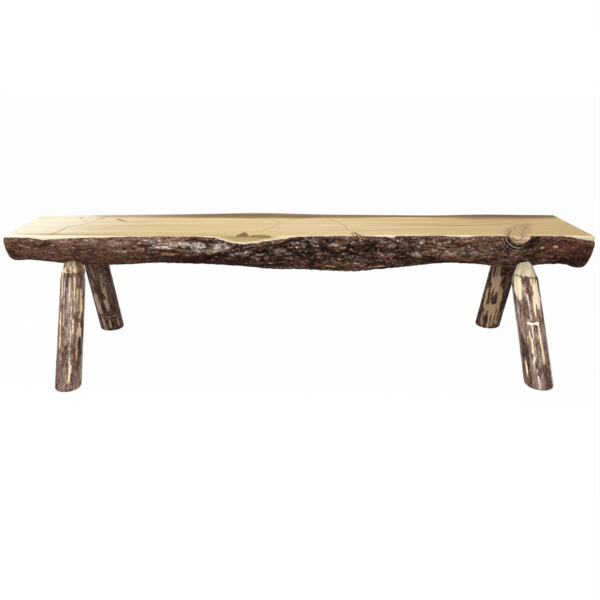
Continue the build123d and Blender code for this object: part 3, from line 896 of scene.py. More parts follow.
def bark_material(look):
    """Dark, flaky bark under patchy varnish.

    Its colour holds painted shade in its cracks and low places,
    and painted light and glints on what faces up.
    """
    material, nodes, shader, here = new_material("varnished_bark")
    skin = nodes.group(bark_skin(), {"Place": nodes.place(here, (0.55, 1, 1))})
    blotch, grit, fleck = skin["Blotch"], skin["Grit"], skin["Fleck"]
    patch = nodes.noise(nodes.place(here, (0.45, 1, 1)), 11, 3, 0.5)
    flake, crease, relief, upward = (nodes.field(name) for name in ("flake", "crease", "relief", "upward"))
    silver, dark, red, tan = (nodes.field(name) for name in ("silver", "dark", "red", "tan"))
    along = nodes.add("SeparateXYZ", {0: here}).outputs[0]

    # How light the bark is: by its blotches and flakes, with painted shade in its low places and painted
    # light on what faces up. Its left-hand end is the most even.
    clump = nodes.ramp(nodes.noise(nodes.place(here, (0.6, 1, 1)), 26, 3, 0.55), 0.36, 0.64)
    light = nodes.math("ADD", nodes.times(blotch, 0.4), nodes.times(nodes.ramp(flake, 0.2, 0.8), 0.15))
    light = nodes.math("ADD", light, nodes.times(nodes.ramp(relief, -0.45, 0.55), 0.3))
    light = nodes.math("ADD", light, nodes.times(nodes.ramp(upward, -0.35, 0.35), 0.55))
    clumps = nodes.times(nodes.ramp(clump, 0, 1, -0.5, 0.5), nodes.ramp(along, -0.55, -0.2, 0.22, 0.5))
    light = nodes.math("SUBTRACT", nodes.math("ADD", light, clumps), 0.16, clamp=True)
    even = nodes.ramp(along, -0.6, -0.25, 0.38, 0.0)
    uneven = nodes.math("SUBTRACT", 1.0, even)
    light = nodes.math("ADD", nodes.times(light, uneven), nodes.times(even, 0.34))

    color = nodes.mix(light, look.shade, look.brown)
    redness = nodes.times(nodes.ramp(patch, 0.5, 0.66), 0.3)
    redness = nodes.math("ADD", redness, nodes.times(red, 0.75), clamp=True)
    color = nodes.mix(nodes.times(redness, nodes.ramp(light, 0.1, 0.8, 0.35, 1.0)), color, look.red)
    color = nodes.mix(nodes.times(nodes.ramp(grit, 0.55, 1.0), 0.5), color, look.dust_and_sheen)
    color = nodes.mix(nodes.times(nodes.ramp(grit, 0.4, 0.0), 0.8), color, look.shade)
    color = nodes.mix(nodes.times(dark, 0.8), color, look.shade)

    # Grey zones: a thin veil of grey bark with a painted sheen, painted glints within them, and sparse
    # painted glints on what faces up.
    streak = nodes.noise(nodes.place(here, (0.4, 1, 1)), 170, 5, 0.7)
    veil = nodes.times(nodes.ramp(silver, 0.1, 1.0), nodes.ramp(light, 0, 0.8, 0.35, 1.0))
    veil = nodes.times(veil, nodes.ramp(streak, 0.42, 0.56, 0.4, 1.0))
    color = nodes.mix(veil, color, look.dust_and_sheen)
    glint = nodes.times(nodes.math("MINIMUM", silver, 1.0), 0.45)
    glint = nodes.math("ADD", glint, nodes.times(streak, 0.9))
    glint = nodes.ramp(nodes.math("ADD", glint, nodes.times(grit, 0.3)), 0.93, 1.08)
    color = nodes.mix(nodes.times(glint, nodes.ramp(silver, 0.02, 0.4)), color, look.silver)
    sparkle = nodes.times(fleck, nodes.ramp(upward, -0.1, 0.15))
    sparkle = nodes.times(sparkle, nodes.ramp(clump, 0.2, 0.8, 0.4, 1.0))
    sparkle = nodes.times(sparkle, nodes.ramp(along, 0.66, 0.76, 1.0, 0.35))
    color = nodes.mix(nodes.times(sparkle, 0.9), color, look.silver)

    worn = nodes.math("ADD", tan, nodes.times(grit, 0.35))
    color = nodes.mix(nodes.ramp(worn, 0.55, 0.9), color, look.tan)
    # Painted shade, nearly black, in the cracks, in the humps' trenches, under the folds and in the waves'
    # troughs.
    color = nodes.mix(nodes.times(crease, 0.92), color, look.crack)
    height = nodes.math("ADD", nodes.times(grit, 0.8), nodes.times(blotch, 1.3))
    height = nodes.math("ADD", height, nodes.times(fleck, 0.35))
    roughness = nodes.ramp(nodes.math("ADD", grit, crease), 0.2, 1.3, 0.22, 0.6)
    wet = nodes.times(nodes.ramp(grit, 0.5, 0.95), nodes.ramp(upward, -0.1, 0.3, 0.1, 0.6))
    gloss = nodes.times(nodes.math("ADD", sparkle, wet, clamp=True), look.varnish)
    finish_surface(nodes, shader, color, roughness, height, 0.0026, gloss)
    return material


def rings_of(nodes, off_pith, drift, spike):
    """The yearly rings at each distance from the pith, and broader bands of them; they bend at a knot."""
    radius = nodes.math("ADD", off_pith, nodes.swing(drift, 46))
    radius = nodes.math("ADD", radius, nodes.ramp(spike, -45, 5, 0, 16))
    late = nodes.ramp(nodes.math("FRACT", nodes.math("DIVIDE", radius, 4.2)), 0.45, 0.97)
    wide = nodes.math("FRACT", nodes.math("DIVIDE", radius, 37.0))
    return late, nodes.times(nodes.ramp(wide, 0.1, 0.6), nodes.ramp(wide, 1.0, 0.7))


def planed_color(nodes, look, here, place, fibre, late, wide):
    """The planed wood's colour: cream at the left, gold at the right, with streaks and rings.

    At the left-hand end the cream is lightened to near white, as a painted sheen.
    """
    x, y, _ = nodes.add("SeparateXYZ", {0: place}).outputs
    along = nodes.math("ADD", x, nodes.times(y, -0.25))
    # How far the streaks show: least at the left-hand end, most at the right-hand one.
    bold = nodes.ramp(along, -900, -600, 0.3, 1.0)
    bold = nodes.math("ADD", bold, nodes.ramp(along, 100, 500, 0.0, 0.4))
    band = nodes.noise(nodes.place(here, (0.7, 16, 16)), 2.4, 4, 0.6)
    band = nodes.ramp(band, 0.36, 0.66)
    pale_band = nodes.noise(nodes.place(here, (0.5, 13, 13), (4, 2, 0)), 2.2, 4, 0.6)
    pale_band = nodes.ramp(pale_band, 0.48, 0.68)
    # Near white at the left-hand end: cream wood with a painted sheen.
    color = nodes.mix(nodes.ramp(along, -880, -480), look.pale, look.straw)
    color = nodes.mix(nodes.ramp(along, -200, 1000), color, look.gold)
    color = nodes.mix(nodes.times(nodes.times(fibre["Streak"], bold), 0.4), color, look.honey)
    color = nodes.mix(nodes.times(nodes.times(band, bold), 0.45), color, look.honey)
    color = nodes.mix(nodes.times(pale_band, 0.4), color, look.rim)
    color = nodes.mix(nodes.times(nodes.times(wide, bold), 0.2), color, look.late)
    color = nodes.mix(nodes.times(nodes.times(late, bold), 0.12), color, look.late)
    return nodes.mix(nodes.times(fibre["Fibre"], 0.10), color, look.late)


def front_edge(nodes, look, color, z, fibre, drift):
    """Colours the wood along the front edge, with the lines and shades that cross it."""
    tone, lip = nodes.field("tone"), nodes.field("lip")
    inside = nodes.math("ADD", nodes.field("inside"), nodes.swing(drift, 12))
    pale_rim = nodes.times(nodes.ramp(inside, 14, 4), nodes.ramp(tone, 0, 1, 0.0, 0.85))
    color = nodes.mix(pale_rim, color, look.rim)
    color = nodes.mix(nodes.times(nodes.ramp(nodes.field("shaded"), -9.0, 6.0), 0.65), color, look.late)
    color = nodes.mix(nodes.times(nodes.ramp(nodes.field("soft"), -4.0, 2.5), 0.75), color, look.late)
    # Below the top, down to the bark's edge: brown in the hollow, pale just above the bark.
    pale_lip = nodes.math("MAXIMUM", nodes.ramp(lip, 15, 4), nodes.ramp(tone, -0.4, 0.4))
    lip_wood = nodes.mix(nodes.times(fibre["Streak"], 0.4), look.lip, look.hollow)
    side = nodes.mix(pale_lip, look.hollow, lip_wood)
    color = nodes.mix(nodes.times(nodes.ramp(z, 456.6, 454), nodes.ramp(lip, 40, 35)), color, side)
    rosy = nodes.ramp(nodes.field("rosy"), -5.0, 3.0)
    rosy = nodes.times(rosy, nodes.ramp(fibre["Streak"], 0, 1, 0.6, 0.95))
    return nodes.mix(nodes.times(rosy, nodes.ramp(z, 449, 453)), color, look.rosy)


def rear_edge(nodes, look, color, here, x, z, drift):
    """Colours the brown band along the top's rear edge, which turns darker to the right."""
    depth = nodes.field("band")
    margin = nodes.ramp(nodes.math("ADD", depth, nodes.swing(drift, 10)), -6, 8)
    mottle = nodes.noise(nodes.place(here, (0.5, 9, 9)), 7, 3)
    margin = nodes.times(margin, nodes.ramp(mottle, 0.3, 0.55, 0.6, 0.95))
    margin = nodes.times(margin, nodes.ramp(z, 448, 455))
    brown = nodes.mix(nodes.ramp(x, -720, -260), look.knot_wood, look.margin)
    color = nodes.mix(margin, color, brown)
    outer = nodes.times(nodes.times(margin, nodes.ramp(depth, 16, 40)), nodes.ramp(x, -600, -200, 0, 0.5))
    return nodes.mix(outer, color, look.stain)


def knot_in_top(nodes, look, color, here, spike):
    """Colours the knot that is cut along its length, with shaded wood round it and a dark outline."""
    fan = nodes.ramp(nodes.noise(nodes.place(here, (1, 0.12, 1)), 170, 3, 0.6), 0.35, 0.65)
    around = nodes.times(nodes.ramp(spike, -26, -1), nodes.ramp(fan, 0, 1, 0.3, 0.75))
    color = nodes.mix(around, color, look.late)
    knot_wood = nodes.mix(nodes.times(fan, 0.7), look.knot_wood, look.late)
    color = nodes.mix(nodes.ramp(spike, -2.0, 2.0), color, knot_wood)
    outline = nodes.times(nodes.ramp(spike, -3.0, -0.5), nodes.ramp(spike, 3.0, 0.5))
    return nodes.mix(nodes.times(outline, nodes.ramp(fan, 0, 1, 0.1, 0.45)), color, look.margin)


def sawn_end(nodes, look, here, y, z, off_pith, late, wide):
    """The sawn ends' colour: rings, a pale outer part, a darker heart and drying checks from the pith.

    The checks are only drawn, as lines of painted shade.
    """
    turn = nodes.math("ARCTAN2", nodes.math("SUBTRACT", z, PITH[2]), nodes.math("SUBTRACT", y, PITH[1]))
    bend = nodes.noise(nodes.place(here, (0.1, 1, 1)), 25, 3)
    spoke = nodes.math("FRACT", nodes.math("ADD", nodes.times(turn, 1.27), nodes.times(bend, 0.16)))
    off_spoke = nodes.math("ABSOLUTE", nodes.math("SUBTRACT", spoke, 0.5))
    gap = nodes.times(off_spoke, nodes.times(off_pith, 0.79))
    check = nodes.times(nodes.ramp(gap, 1.5, 0.5), nodes.ramp(off_pith, 150, 70))
    check = nodes.times(check, nodes.ramp(nodes.noise(nodes.place(here, (0.1, 1, 1)), 9, 2), 0.47, 0.53))
    color = nodes.mix(nodes.times(late, 0.75), look.end_grain, look.late)
    color = nodes.mix(nodes.times(wide, 0.6), color, look.late)
    color = nodes.mix(nodes.ramp(off_pith, 125, 165, 0, 0.45), color, look.rim)
    color = nodes.mix(nodes.ramp(off_pith, 70, 5, 0, 0.45), color, look.late)
    # The drying checks, as lines of painted shade.
    return nodes.mix(nodes.times(check, 0.9), color, look.crack)


def stub_face(nodes, look, here, place, fibre):
    """The branch stub's sawn face: where it is, its rings and its colour."""
    _, y, z = nodes.add("SeparateXYZ", {0: place}).outputs
    across = (1, 0, 1)
    off_middle = nodes.distance(place, (STUB.x, 0, STUB.z), across)
    front = nodes.times(nodes.ramp(y, -168, -176), nodes.ramp(z, 456.5, 455.5))
    here_is_face = nodes.times(nodes.ramp(off_middle, STUB.radius + 1, STUB.radius - 1), front)
    wavy = nodes.math("ADD", off_middle, nodes.times(nodes.noise(here, 60, 3), 9))
    ring = nodes.ramp(nodes.math("FRACT", nodes.math("DIVIDE", wavy, 6.0)), 0.35, 0.95)
    face = nodes.mix(nodes.times(ring, 0.45), look.stub, look.stub_ring)
    mottle = nodes.noise(nodes.place(here, (1, 1, 1.6)), 130, 4, 0.6)
    face = nodes.mix(nodes.ramp(mottle, 0.45, 0.7, 0, 0.6), face, look.stub_ring)
    rim = nodes.distance(place, (STUB.x + 1, 0, STUB.z + 1), across)
    rim = nodes.math("ADD", rim, nodes.times(nodes.noise(here, 90, 3), 8))
    face = nodes.mix(nodes.ramp(rim, STUB.radius - 2, STUB.radius + 3), face, look.stain)
    # The knot's own wood hangs over the face's upper edge as a small tongue.
    tongue = nodes.distance(place, (STUB.x - 7, 0, STUB.z - 3), across)
    tongue_wood = nodes.mix(fibre["Streak"], look.lip, look.knot_wood)
    face = nodes.mix(nodes.times(nodes.ramp(tongue, 20, 17), 0.8), face, look.stain)
    face = nodes.mix(nodes.ramp(tongue, 16, 13.5), face, tongue_wood)
    return here_is_face, ring, face


def wood_material(look):
    """Planed pine: rings round the pith, a pale rim, a brown rear margin, knots and fine dark lines."""
    material, nodes, shader, here = new_material("planed_pine")
    place = nodes.place(here, (1 / MM, 1 / MM, 1 / MM))
    x, y, z = nodes.add("SeparateXYZ", {0: place}).outputs
    spike = nodes.field("spike")
    drift = nodes.noise(nodes.place(here, (1.1, 7, 7)), 2.2, 3, 0.5)
    fibre = nodes.group(wood_fibre(), {"Place": nodes.place(here, (0.02, 1, 1))})
    off_pith = nodes.distance(place, PITH, (0, 1, 1))
    late, wide = rings_of(nodes, off_pith, drift, spike)

    color = planed_color(nodes, look, here, place, fibre, late, wide)
    color = front_edge(nodes, look, color, z, fibre, drift)
    color = rear_edge(nodes, look, color, here, x, z, drift)
    color = knot_in_top(nodes, look, color, here, spike)
    # Painted shade in the fine cracks, which are also sunk a little into the top.
    open_crack = nodes.ramp(nodes.field("crack"), -1.4, 0.6)
    color = nodes.mix(nodes.times(open_crack, 0.85), color, look.crack)
    end = HALF_LENGTH / MM
    sawn = nodes.ramp(nodes.math("ABSOLUTE", x), end - 1.2, end - 0.4)
    color = nodes.mix(sawn, color, sawn_end(nodes, look, here, y, z, off_pith, late, wide))
    on_stub, stub_ring, face = stub_face(nodes, look, here, place, fibre)
    color = nodes.mix(on_stub, color, face)

    height = nodes.math("ADD", nodes.times(fibre["Fibre"], 0.5), nodes.times(late, 0.3))
    height = nodes.math("SUBTRACT", height, nodes.times(nodes.times(on_stub, stub_ring), 2.0))
    dull = nodes.math("ADD", fibre["Fibre"], nodes.times(open_crack, 2.0))
    roughness = nodes.ramp(dull, 0, 2, 0.30, 0.55)
    finish_surface(nodes, shader, color, roughness, height, 0.0003, look.varnish, satin=0.32)
    return material


def pole_material(look, name, finish):
    """Brown inner bark with patches of bare wood, varnished."""
    material, nodes, shader, _ = new_material("skip_peeled_" + name)
    along = nodes.add("Attribute", attribute_name="along", attribute_type="GEOMETRY").outputs["Vector"]
    skin = nodes.group(bark_skin(), {"Place": nodes.place(along, (1, 1, 0.3))})
    grit = skin["Grit"]
    fibre = nodes.group(wood_fibre(), {"Place": nodes.place(along, (1, 1, 0.035))})
    tear = nodes.noise(nodes.place(along, (1, 1, 0.1)), 260, 4, 0.6)
    bare = nodes.math("ADD", nodes.field("bare"), nodes.swing(tear, 4.0))
    # The grey film is stronger on the shinier front poles: grey inner bark with a painted sheen.
    film = 0.3 + 0.3 * finish.shine

    color = nodes.mix(skin["Blotch"], finish.bark, finish.light)
    color = nodes.mix(nodes.times(nodes.ramp(fibre["Streak"], 0.3, 1.0), 0.35), color, finish.bark)
    color = nodes.mix(nodes.times(nodes.ramp(grit, 0.5, 1.0), film), color, look.film)
    color = nodes.mix(nodes.times(nodes.ramp(grit, 0.4, 0.0), 0.6), color, finish.bark)
    color = nodes.mix(nodes.times(skin["Fleck"], 0.3), color, look.cambium)
    wood = nodes.mix(fibre["Streak"], finish.bare_high, finish.bare_low)
    wood = nodes.mix(nodes.times(fibre["Fibre"], 0.2), wood, look.cambium)
    color = nodes.mix(nodes.times(nodes.ramp(bare, -1.2, 0.0), 0.8), color, look.cambium)
    color = nodes.mix(nodes.ramp(bare, -0.5, 1.0), color, wood)
    color = nodes.mix(nodes.ramp(nodes.field("flake"), -0.5, 0.5), color, look.amber)
    color = nodes.mix(nodes.times(nodes.ramp(nodes.field("stain"), -1.2, 0.8), 0.85), color, look.knot)

    shoulder, knot = nodes.field("shoulder"), nodes.field("knot")
    top = nodes.ramp(nodes.math("ADD", grit, skin["Blotch"]), 0.6, 1.7, 0, 0.8)
    top = nodes.mix(top, finish.shoulder, finish.bare_high)
    top = nodes.mix(nodes.times(nodes.ramp(bare, -1.0, 2.0), 0.8), top, finish.bare_high)
    # Where a patch runs up into the shoulder: a painted highlight on pale wood.
    top = nodes.mix(nodes.ramp(bare, 1.0, 2.8), top, look.fresh_and_highlight)
    color = nodes.mix(nodes.ramp(shoulder, -0.3, 0.6), color, top)
    # The whorls show fainter on the poles that shine less, as painted shade.
    whorl = nodes.times(nodes.ramp(nodes.field("whorl"), 0.45, 0.8), 0.5 + 0.5 * finish.shine)
    color = nodes.mix(whorl, color, finish.bare_high)
    color = nodes.mix(nodes.ramp(knot, 0.25, 0.55), color, look.knot)
    color = nodes.mix(nodes.ramp(knot, 0.8, 0.95), color, look.cambium)

    height = nodes.math("ADD", nodes.times(skin["Blotch"], 0.8), nodes.times(grit, 0.5))
    height = nodes.times(height, nodes.ramp(bare, -0.5, 1.5, 1.0, 0.25))
    roughness = nodes.ramp(grit, 0.1, 0.9, 0.22, 0.44)
    gloss = nodes.ramp(nodes.math("ADD", skin["Blotch"], grit), 0.45, 1.4, 0.08, 1.0)
    gloss = nodes.math("MAXIMUM", gloss, nodes.ramp(shoulder, 0, 2, 0, 0.7))
    gloss = nodes.times(gloss, look.varnish * finish.shine)
    finish_surface(nodes, shader, color, roughness, height, 0.0012, gloss)
    return material


def wedge_material(look):
    """Plain split hardwood, unfinished."""
    material, nodes, shader, here = new_material("split_wedge")
    grain = nodes.noise(nodes.place(here, (1, 1, 0.06)), 600, 4, 0.6)
    color = nodes.mix(nodes.ramp(grain, 0.35, 0.7), look.wedge, look.cambium)
    roughness = nodes.ramp(grain, 0.3, 0.7, 0.6, 0.75)
    finish_surface(nodes, shader, color, roughness, grain, 0.0003, 0.0, specular=0.3)
    return material


# ---------------------------------------------------------------- the wood, the legs and their wedges
def inside_marks(x, y, marks):
    """How far inside the nearest of some marks each place lies, in millimetres."""
    inside = np.full(len(x), -99.0)
    for mark in marks:
        points = np.array(mark.points, float)
        for number, (start, end) in enumerate(zip(points, points[1:])):
            line = end - start
            along = np.clip(((x - start[0]) * line[0] + (y - start[1]) * line[1]) / line.dot(line), 0, 1)
            gap = np.hypot(x - start[0] - along * line[0], y - start[1] - along * line[1])
            share = (number + along) / (len(points) - 1)
            width = np.where((share > 0) & (share < 1), mark.start + (mark.end - mark.start) * share, 0)
            inside = np.maximum(inside, width - gap)
    return inside


def mark_fields(points):
    """Where the cracks, soft lines, rosy marks and spike knots lie in the top, for points in metres."""
    mm = points / MM
    flat = mm * (1, 1, 0)
    x = mm[:, 0] + 5 * lumps(flat, (36, 20, 9), 301, 2)
    y = mm[:, 1] + 4 * lumps(flat, (60, 22, 9), 303, 2)
    sets = {"crack": CRACKS, "soft": SOFT_LINES, "rosy": ROSY_MARKS, "spike": SPIKES, "shaded": SHADES}
    on_top = mm[:, 2] > SEAT_TOP / MM - TOP_DEPTH
    return {name: np.where(on_top, inside_marks(x, y, marks), -99.0) for name, marks in sets.items()}


def edge_fields(points):
    """How far points lie inside the top's front edge and inside the brown band along its rear edge.

    It also gives the front edge's tone, and each point's height above the bark's edge.
    """
    mm = points / MM
    x, y, z = mm.T
    column = np.rint((x + HALF_LENGTH / MM) / TOP_CELL).astype(int)
    edge = np.full(column.max() + 1, -150.0)
    on_top = z > SEAT_TOP / MM - TOP_DEPTH
    np.minimum.at(edge, column[on_top], y[on_top])
    inside = y - np.interp(x, np.arange(len(edge)) * TOP_CELL - HALF_LENGTH / MM, edge)
    band = y - table_at(REAR_BAND, x) + 7 * lumps(mm * (1, 1, 0), (90, 24, 9), 305, 2)
    lip = np.where(y < -100, z - SEAT_TOP / MM + table_at(FRONT_RIM, x), 99)
    return {
        "inside": np.where(on_top, inside, 99), "band": np.where(on_top, band, -99),
        "tone": table_at(EDGE_TONE, x), "lip": np.where(on_top, lip, 99),
    }


def top_faces(bm):
    """The faces of the log's planed top, and of the hollows along its front edge."""
    lowest = SEAT_TOP - GRID_DEPTH * MM
    return [f for f in bm.faces if f.normal.z > 0.35 and f.calc_center_median().z > lowest]


class LOGBENCH_OT_wood(bpy.types.Operator):
    """Finishes the sawn and planed log, with its fine cracks and knots"""

    bl_idname = "logbench.wood"
    bl_label = "Sawn log"

    def execute(self, context):
        """Divides the sawn log's top, sinks its cracks and gives it its material."""
        look = context.scene.log_bench_wood
        bm = bmesh.new()
        bm.from_mesh(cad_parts["seat_log"].data)
        bmesh.ops.remove_doubles(bm, verts=bm.verts[:], dist=WELD * MM)
        self.divide_top(bm)
        mesh = bpy.data.meshes.new("log_wood")
        bm.to_mesh(mesh)
        bm.free()
        mesh.materials.clear()
        points = np.zeros(len(mesh.vertices) * 3, np.float32)
        mesh.vertices.foreach_get("co", points)
        points = points.reshape(-1, 3).astype(float)
        fields = {**mark_fields(points), **edge_fields(points)}
        points[:, 2] -= look.crack_depth * smooth(fields["crack"], -0.8, 0.8)
        points[:, 2] -= 0.3 * MM * smooth(fields["spike"], -2, 0) * smooth(fields["spike"], 3, 0)
        mesh.vertices.foreach_set("co", points.astype(np.float32).ravel())
        for name, values in fields.items():
            set_field(mesh, name, values)
        shade_smooth(mesh, 30)
        piece_from(mesh, "log_wood", wood_material(look), "seat_wood", "seat_log")
        return {"FINISHED"}

    def divide_top(self, bm):
        """Cuts the top into a coarse grid, and into a fine one round each mark."""
        top = top_faces(bm)
        held = top + list({e for f in top for e in f.edges}) + list({v for f in top for v in f.verts})
        cell = TOP_CELL * MM
        for axis, reach_of_top in ((Vector((1, 0, 0)), HALF_LENGTH), (Vector((0, 1, 0)), TOP_HALF_WIDTH)):
            for place in np.arange(-reach_of_top + cell, reach_of_top, cell):
                held = bmesh.ops.bisect_plane(
                    bm, geom=held, dist=0.01 * MM, plane_co=axis * place, plane_no=axis
                )["geom"]
        for spread in MARK_GRIDS:
            edges = list({e for f in top_faces(bm) for e in f.edges})
            middles = np.array([(e.verts[0].co + e.verts[1].co) / 2 for e in edges])
            lengths = np.array([e.calc_length() for e in edges]) / MM
            fields = mark_fields(middles)
            # A broad mark's middle is even, so that only its outline needs the fine grid.
            lines = np.maximum(fields["crack"], np.minimum(fields["soft"], 3 - fields["soft"]))
            outlines = np.maximum(-np.abs(fields["spike"]), -np.abs(fields["rosy"]))
            near = np.maximum(lines, outlines) > -spread
            chosen = [edges[number] for number in np.flatnonzero(near & (lengths > spread / 2.2))]
            bmesh.ops.subdivide_edges(bm, edges=chosen, cuts=1, use_grid_fill=True)
        bmesh.ops.triangulate(bm, faces=top_faces(bm))


def pole_blank(levels, sides):
    """A closed upright tube of radius 1, open at its ends, with a ring at each level."""
    bm = bmesh.new()
    verts = [bm.verts.new((0, -1, z)) for z in levels]
    edges = [bm.edges.new(pair) for pair in zip(verts, verts[1:])]
    bmesh.ops.spin(
        bm, geom=verts + edges, cent=(0, 0, 0), axis=(0, 0, 1), angle=2 * pi, steps=sides, use_merge=True
    )
    return bm


def turned_from(degrees, turn):
    """How far round from a turn each place lies, in degrees from -180 to 180."""
    return (degrees - turn + 180) % 360 - 180


def inside_patches(z, turn, at, patches, seed):
    """How far inside the nearest patch each point of a pole lies, in millimetres; its ends are torn."""
    inside = np.full(len(z), -30.0)
    for number, patch in enumerate(patches):
        tall = patch.z0 - patch.z1
        share = np.clip((patch.z0 - z) / tall, 0, 1)
        middle = patch.turn0 + share * (patch.turn1 - patch.turn0)
        beside = np.abs(np.radians(turned_from(turn, middle)) * POLE_RADIUS)
        torn = min(0.24 * tall, 17)
        high = (patch.z0 + torn * lumps(at, (4, 4, 400), seed + number, 2) - z) * 0.3
        low = (z - patch.z1 + torn * lumps(at, (4, 4, 400), seed + number + 50, 2)) * 0.3
        half = patch.width / 2 * (1 + 0.35 * lumps(at, (14, 14, 20), seed + number)) - beside
        inside = np.maximum(inside, np.minimum(half, np.minimum(high, low)))
    return inside


def bare_places(z, turn, at, pole, seed):
    """How far inside bare wood each point of a pole lies, in millimetres; below 0 there is bark."""
    bare = inside_patches(z, turn, at, pole.patches, seed)
    bare -= 6 * smooth(lumps(at, (3.6, 3.6, 60), seed + 8), 0.3, 0.75)
    skipped = 9 * lumps(at, (8, 8, 75), seed, 2) - 9 * (0.78 - pole.bareness)
    bare = np.maximum(bare, np.minimum(skipped, 2.5))
    return bare + 1.5 * lumps(at, (3.2, 3.2, 30), seed + 7, 2) + 0.8 * lumps(at, (1.8, 1.8, 9), seed + 9)


def measure_pole(name, foot, head, turns):
    """A leg's rings from the floor up to its tenon: each one's height, and its reach at each turn."""
    tree = search_tree("leg_" + name)
    outward = [Vector((np.sin(t), -np.cos(t), 0)) for t in turns]
    levels, reaches = [], []
    while len(levels) < 3 or max(reaches[-1]) > TENON_REACH * MM:
        level = len(levels) * RING_GAP * MM
        centre = foot.lerp(head, level / head.z)
        centre.z = max(level, 0.1 * MM)
        reaches.append([reach(tree, centre, o, POLE_RAY)[0] for o in outward])
        levels.append(level)
    return levels, np.array(reaches)


def pole_fields(z, degrees, at, pole, seed):
    """What a pole's material reads: its bare wood, shoulder, knots, whorls, stains and flakes."""
    ragged = lumps(at, (17, 17, 900), seed + 1) + 0.6 * lumps(at, (6, 6, 900), seed + 2)
    knot, whorl = np.zeros(len(z)), np.zeros(len(z))
    for mark in pole.knots:
        beside = np.radians(turned_from(degrees, mark.turn)) * POLE_RADIUS
        away = (beside / mark.wide) ** 2 + ((z - mark.z) / mark.tall) ** 2
        knot = np.maximum(knot, np.exp(-away * 1.6))
    for mark in pole.whorls:
        aside = np.abs(turned_from(degrees, mark.turn))
        away = z - mark.z - 3 * lumps(at, (14, 14, 900), seed + 4, 2)
        tall = mark.tall * (1 + 0.5 * lumps(at, (9, 9, 900), seed + 5))
        band = np.exp(-((away / tall) ** 2)) * (1 - smooth(aside, mark.spread * 0.8, mark.spread * 1.15))
        whorl = np.maximum(whorl, band)
    return {
        "bare": bare_places(z, degrees, at, pole, seed),
        "shoulder": z - (pole.edge + pole.ragged * ragged),
        "knot": knot,
        "whorl": whorl,
        "stain": inside_patches(z, degrees, at, pole.stains, seed + 30) + lumps(at, (3, 3, 16), seed + 11),
        "flake": inside_patches(z, degrees, at, pole.flakes, seed + 31),
    }


def pole_rise(z, at, fields, top, peel, seed):
    """How far a pole's surface stands out from the solid leg's, in millimetres."""
    shoulder, knot = fields["shoulder"], fields["knot"]
    off = np.maximum(smooth(fields["bare"], -0.4, 1.0), smooth(shoulder, -0.6, 1.2))
    dimple = 1.2 * np.where(knot > 0.75, (knot - 0.75) * 4, 0)
    rise = 0.7 * lumps(at, (42, 42, 110), seed + 3, 2)
    rise += 0.35 * lumps(at, (7, 7, 16), seed + 5, 2) * (1 - 0.6 * off)
    rise += 0.5 - 1.3 * off * peel + 1.4 * knot - dimple + 1.6 * fields["whorl"]
    rise += smooth(shoulder, 0, 4) * 0.7 * lumps(at, (9, 9, 15), seed + 6)
    # The foot and the top of the shoulder keep the solid leg's own surface.
    return rise * (smooth(z, 0, 10) * (1 - smooth(z, top - 16, top - 8)))


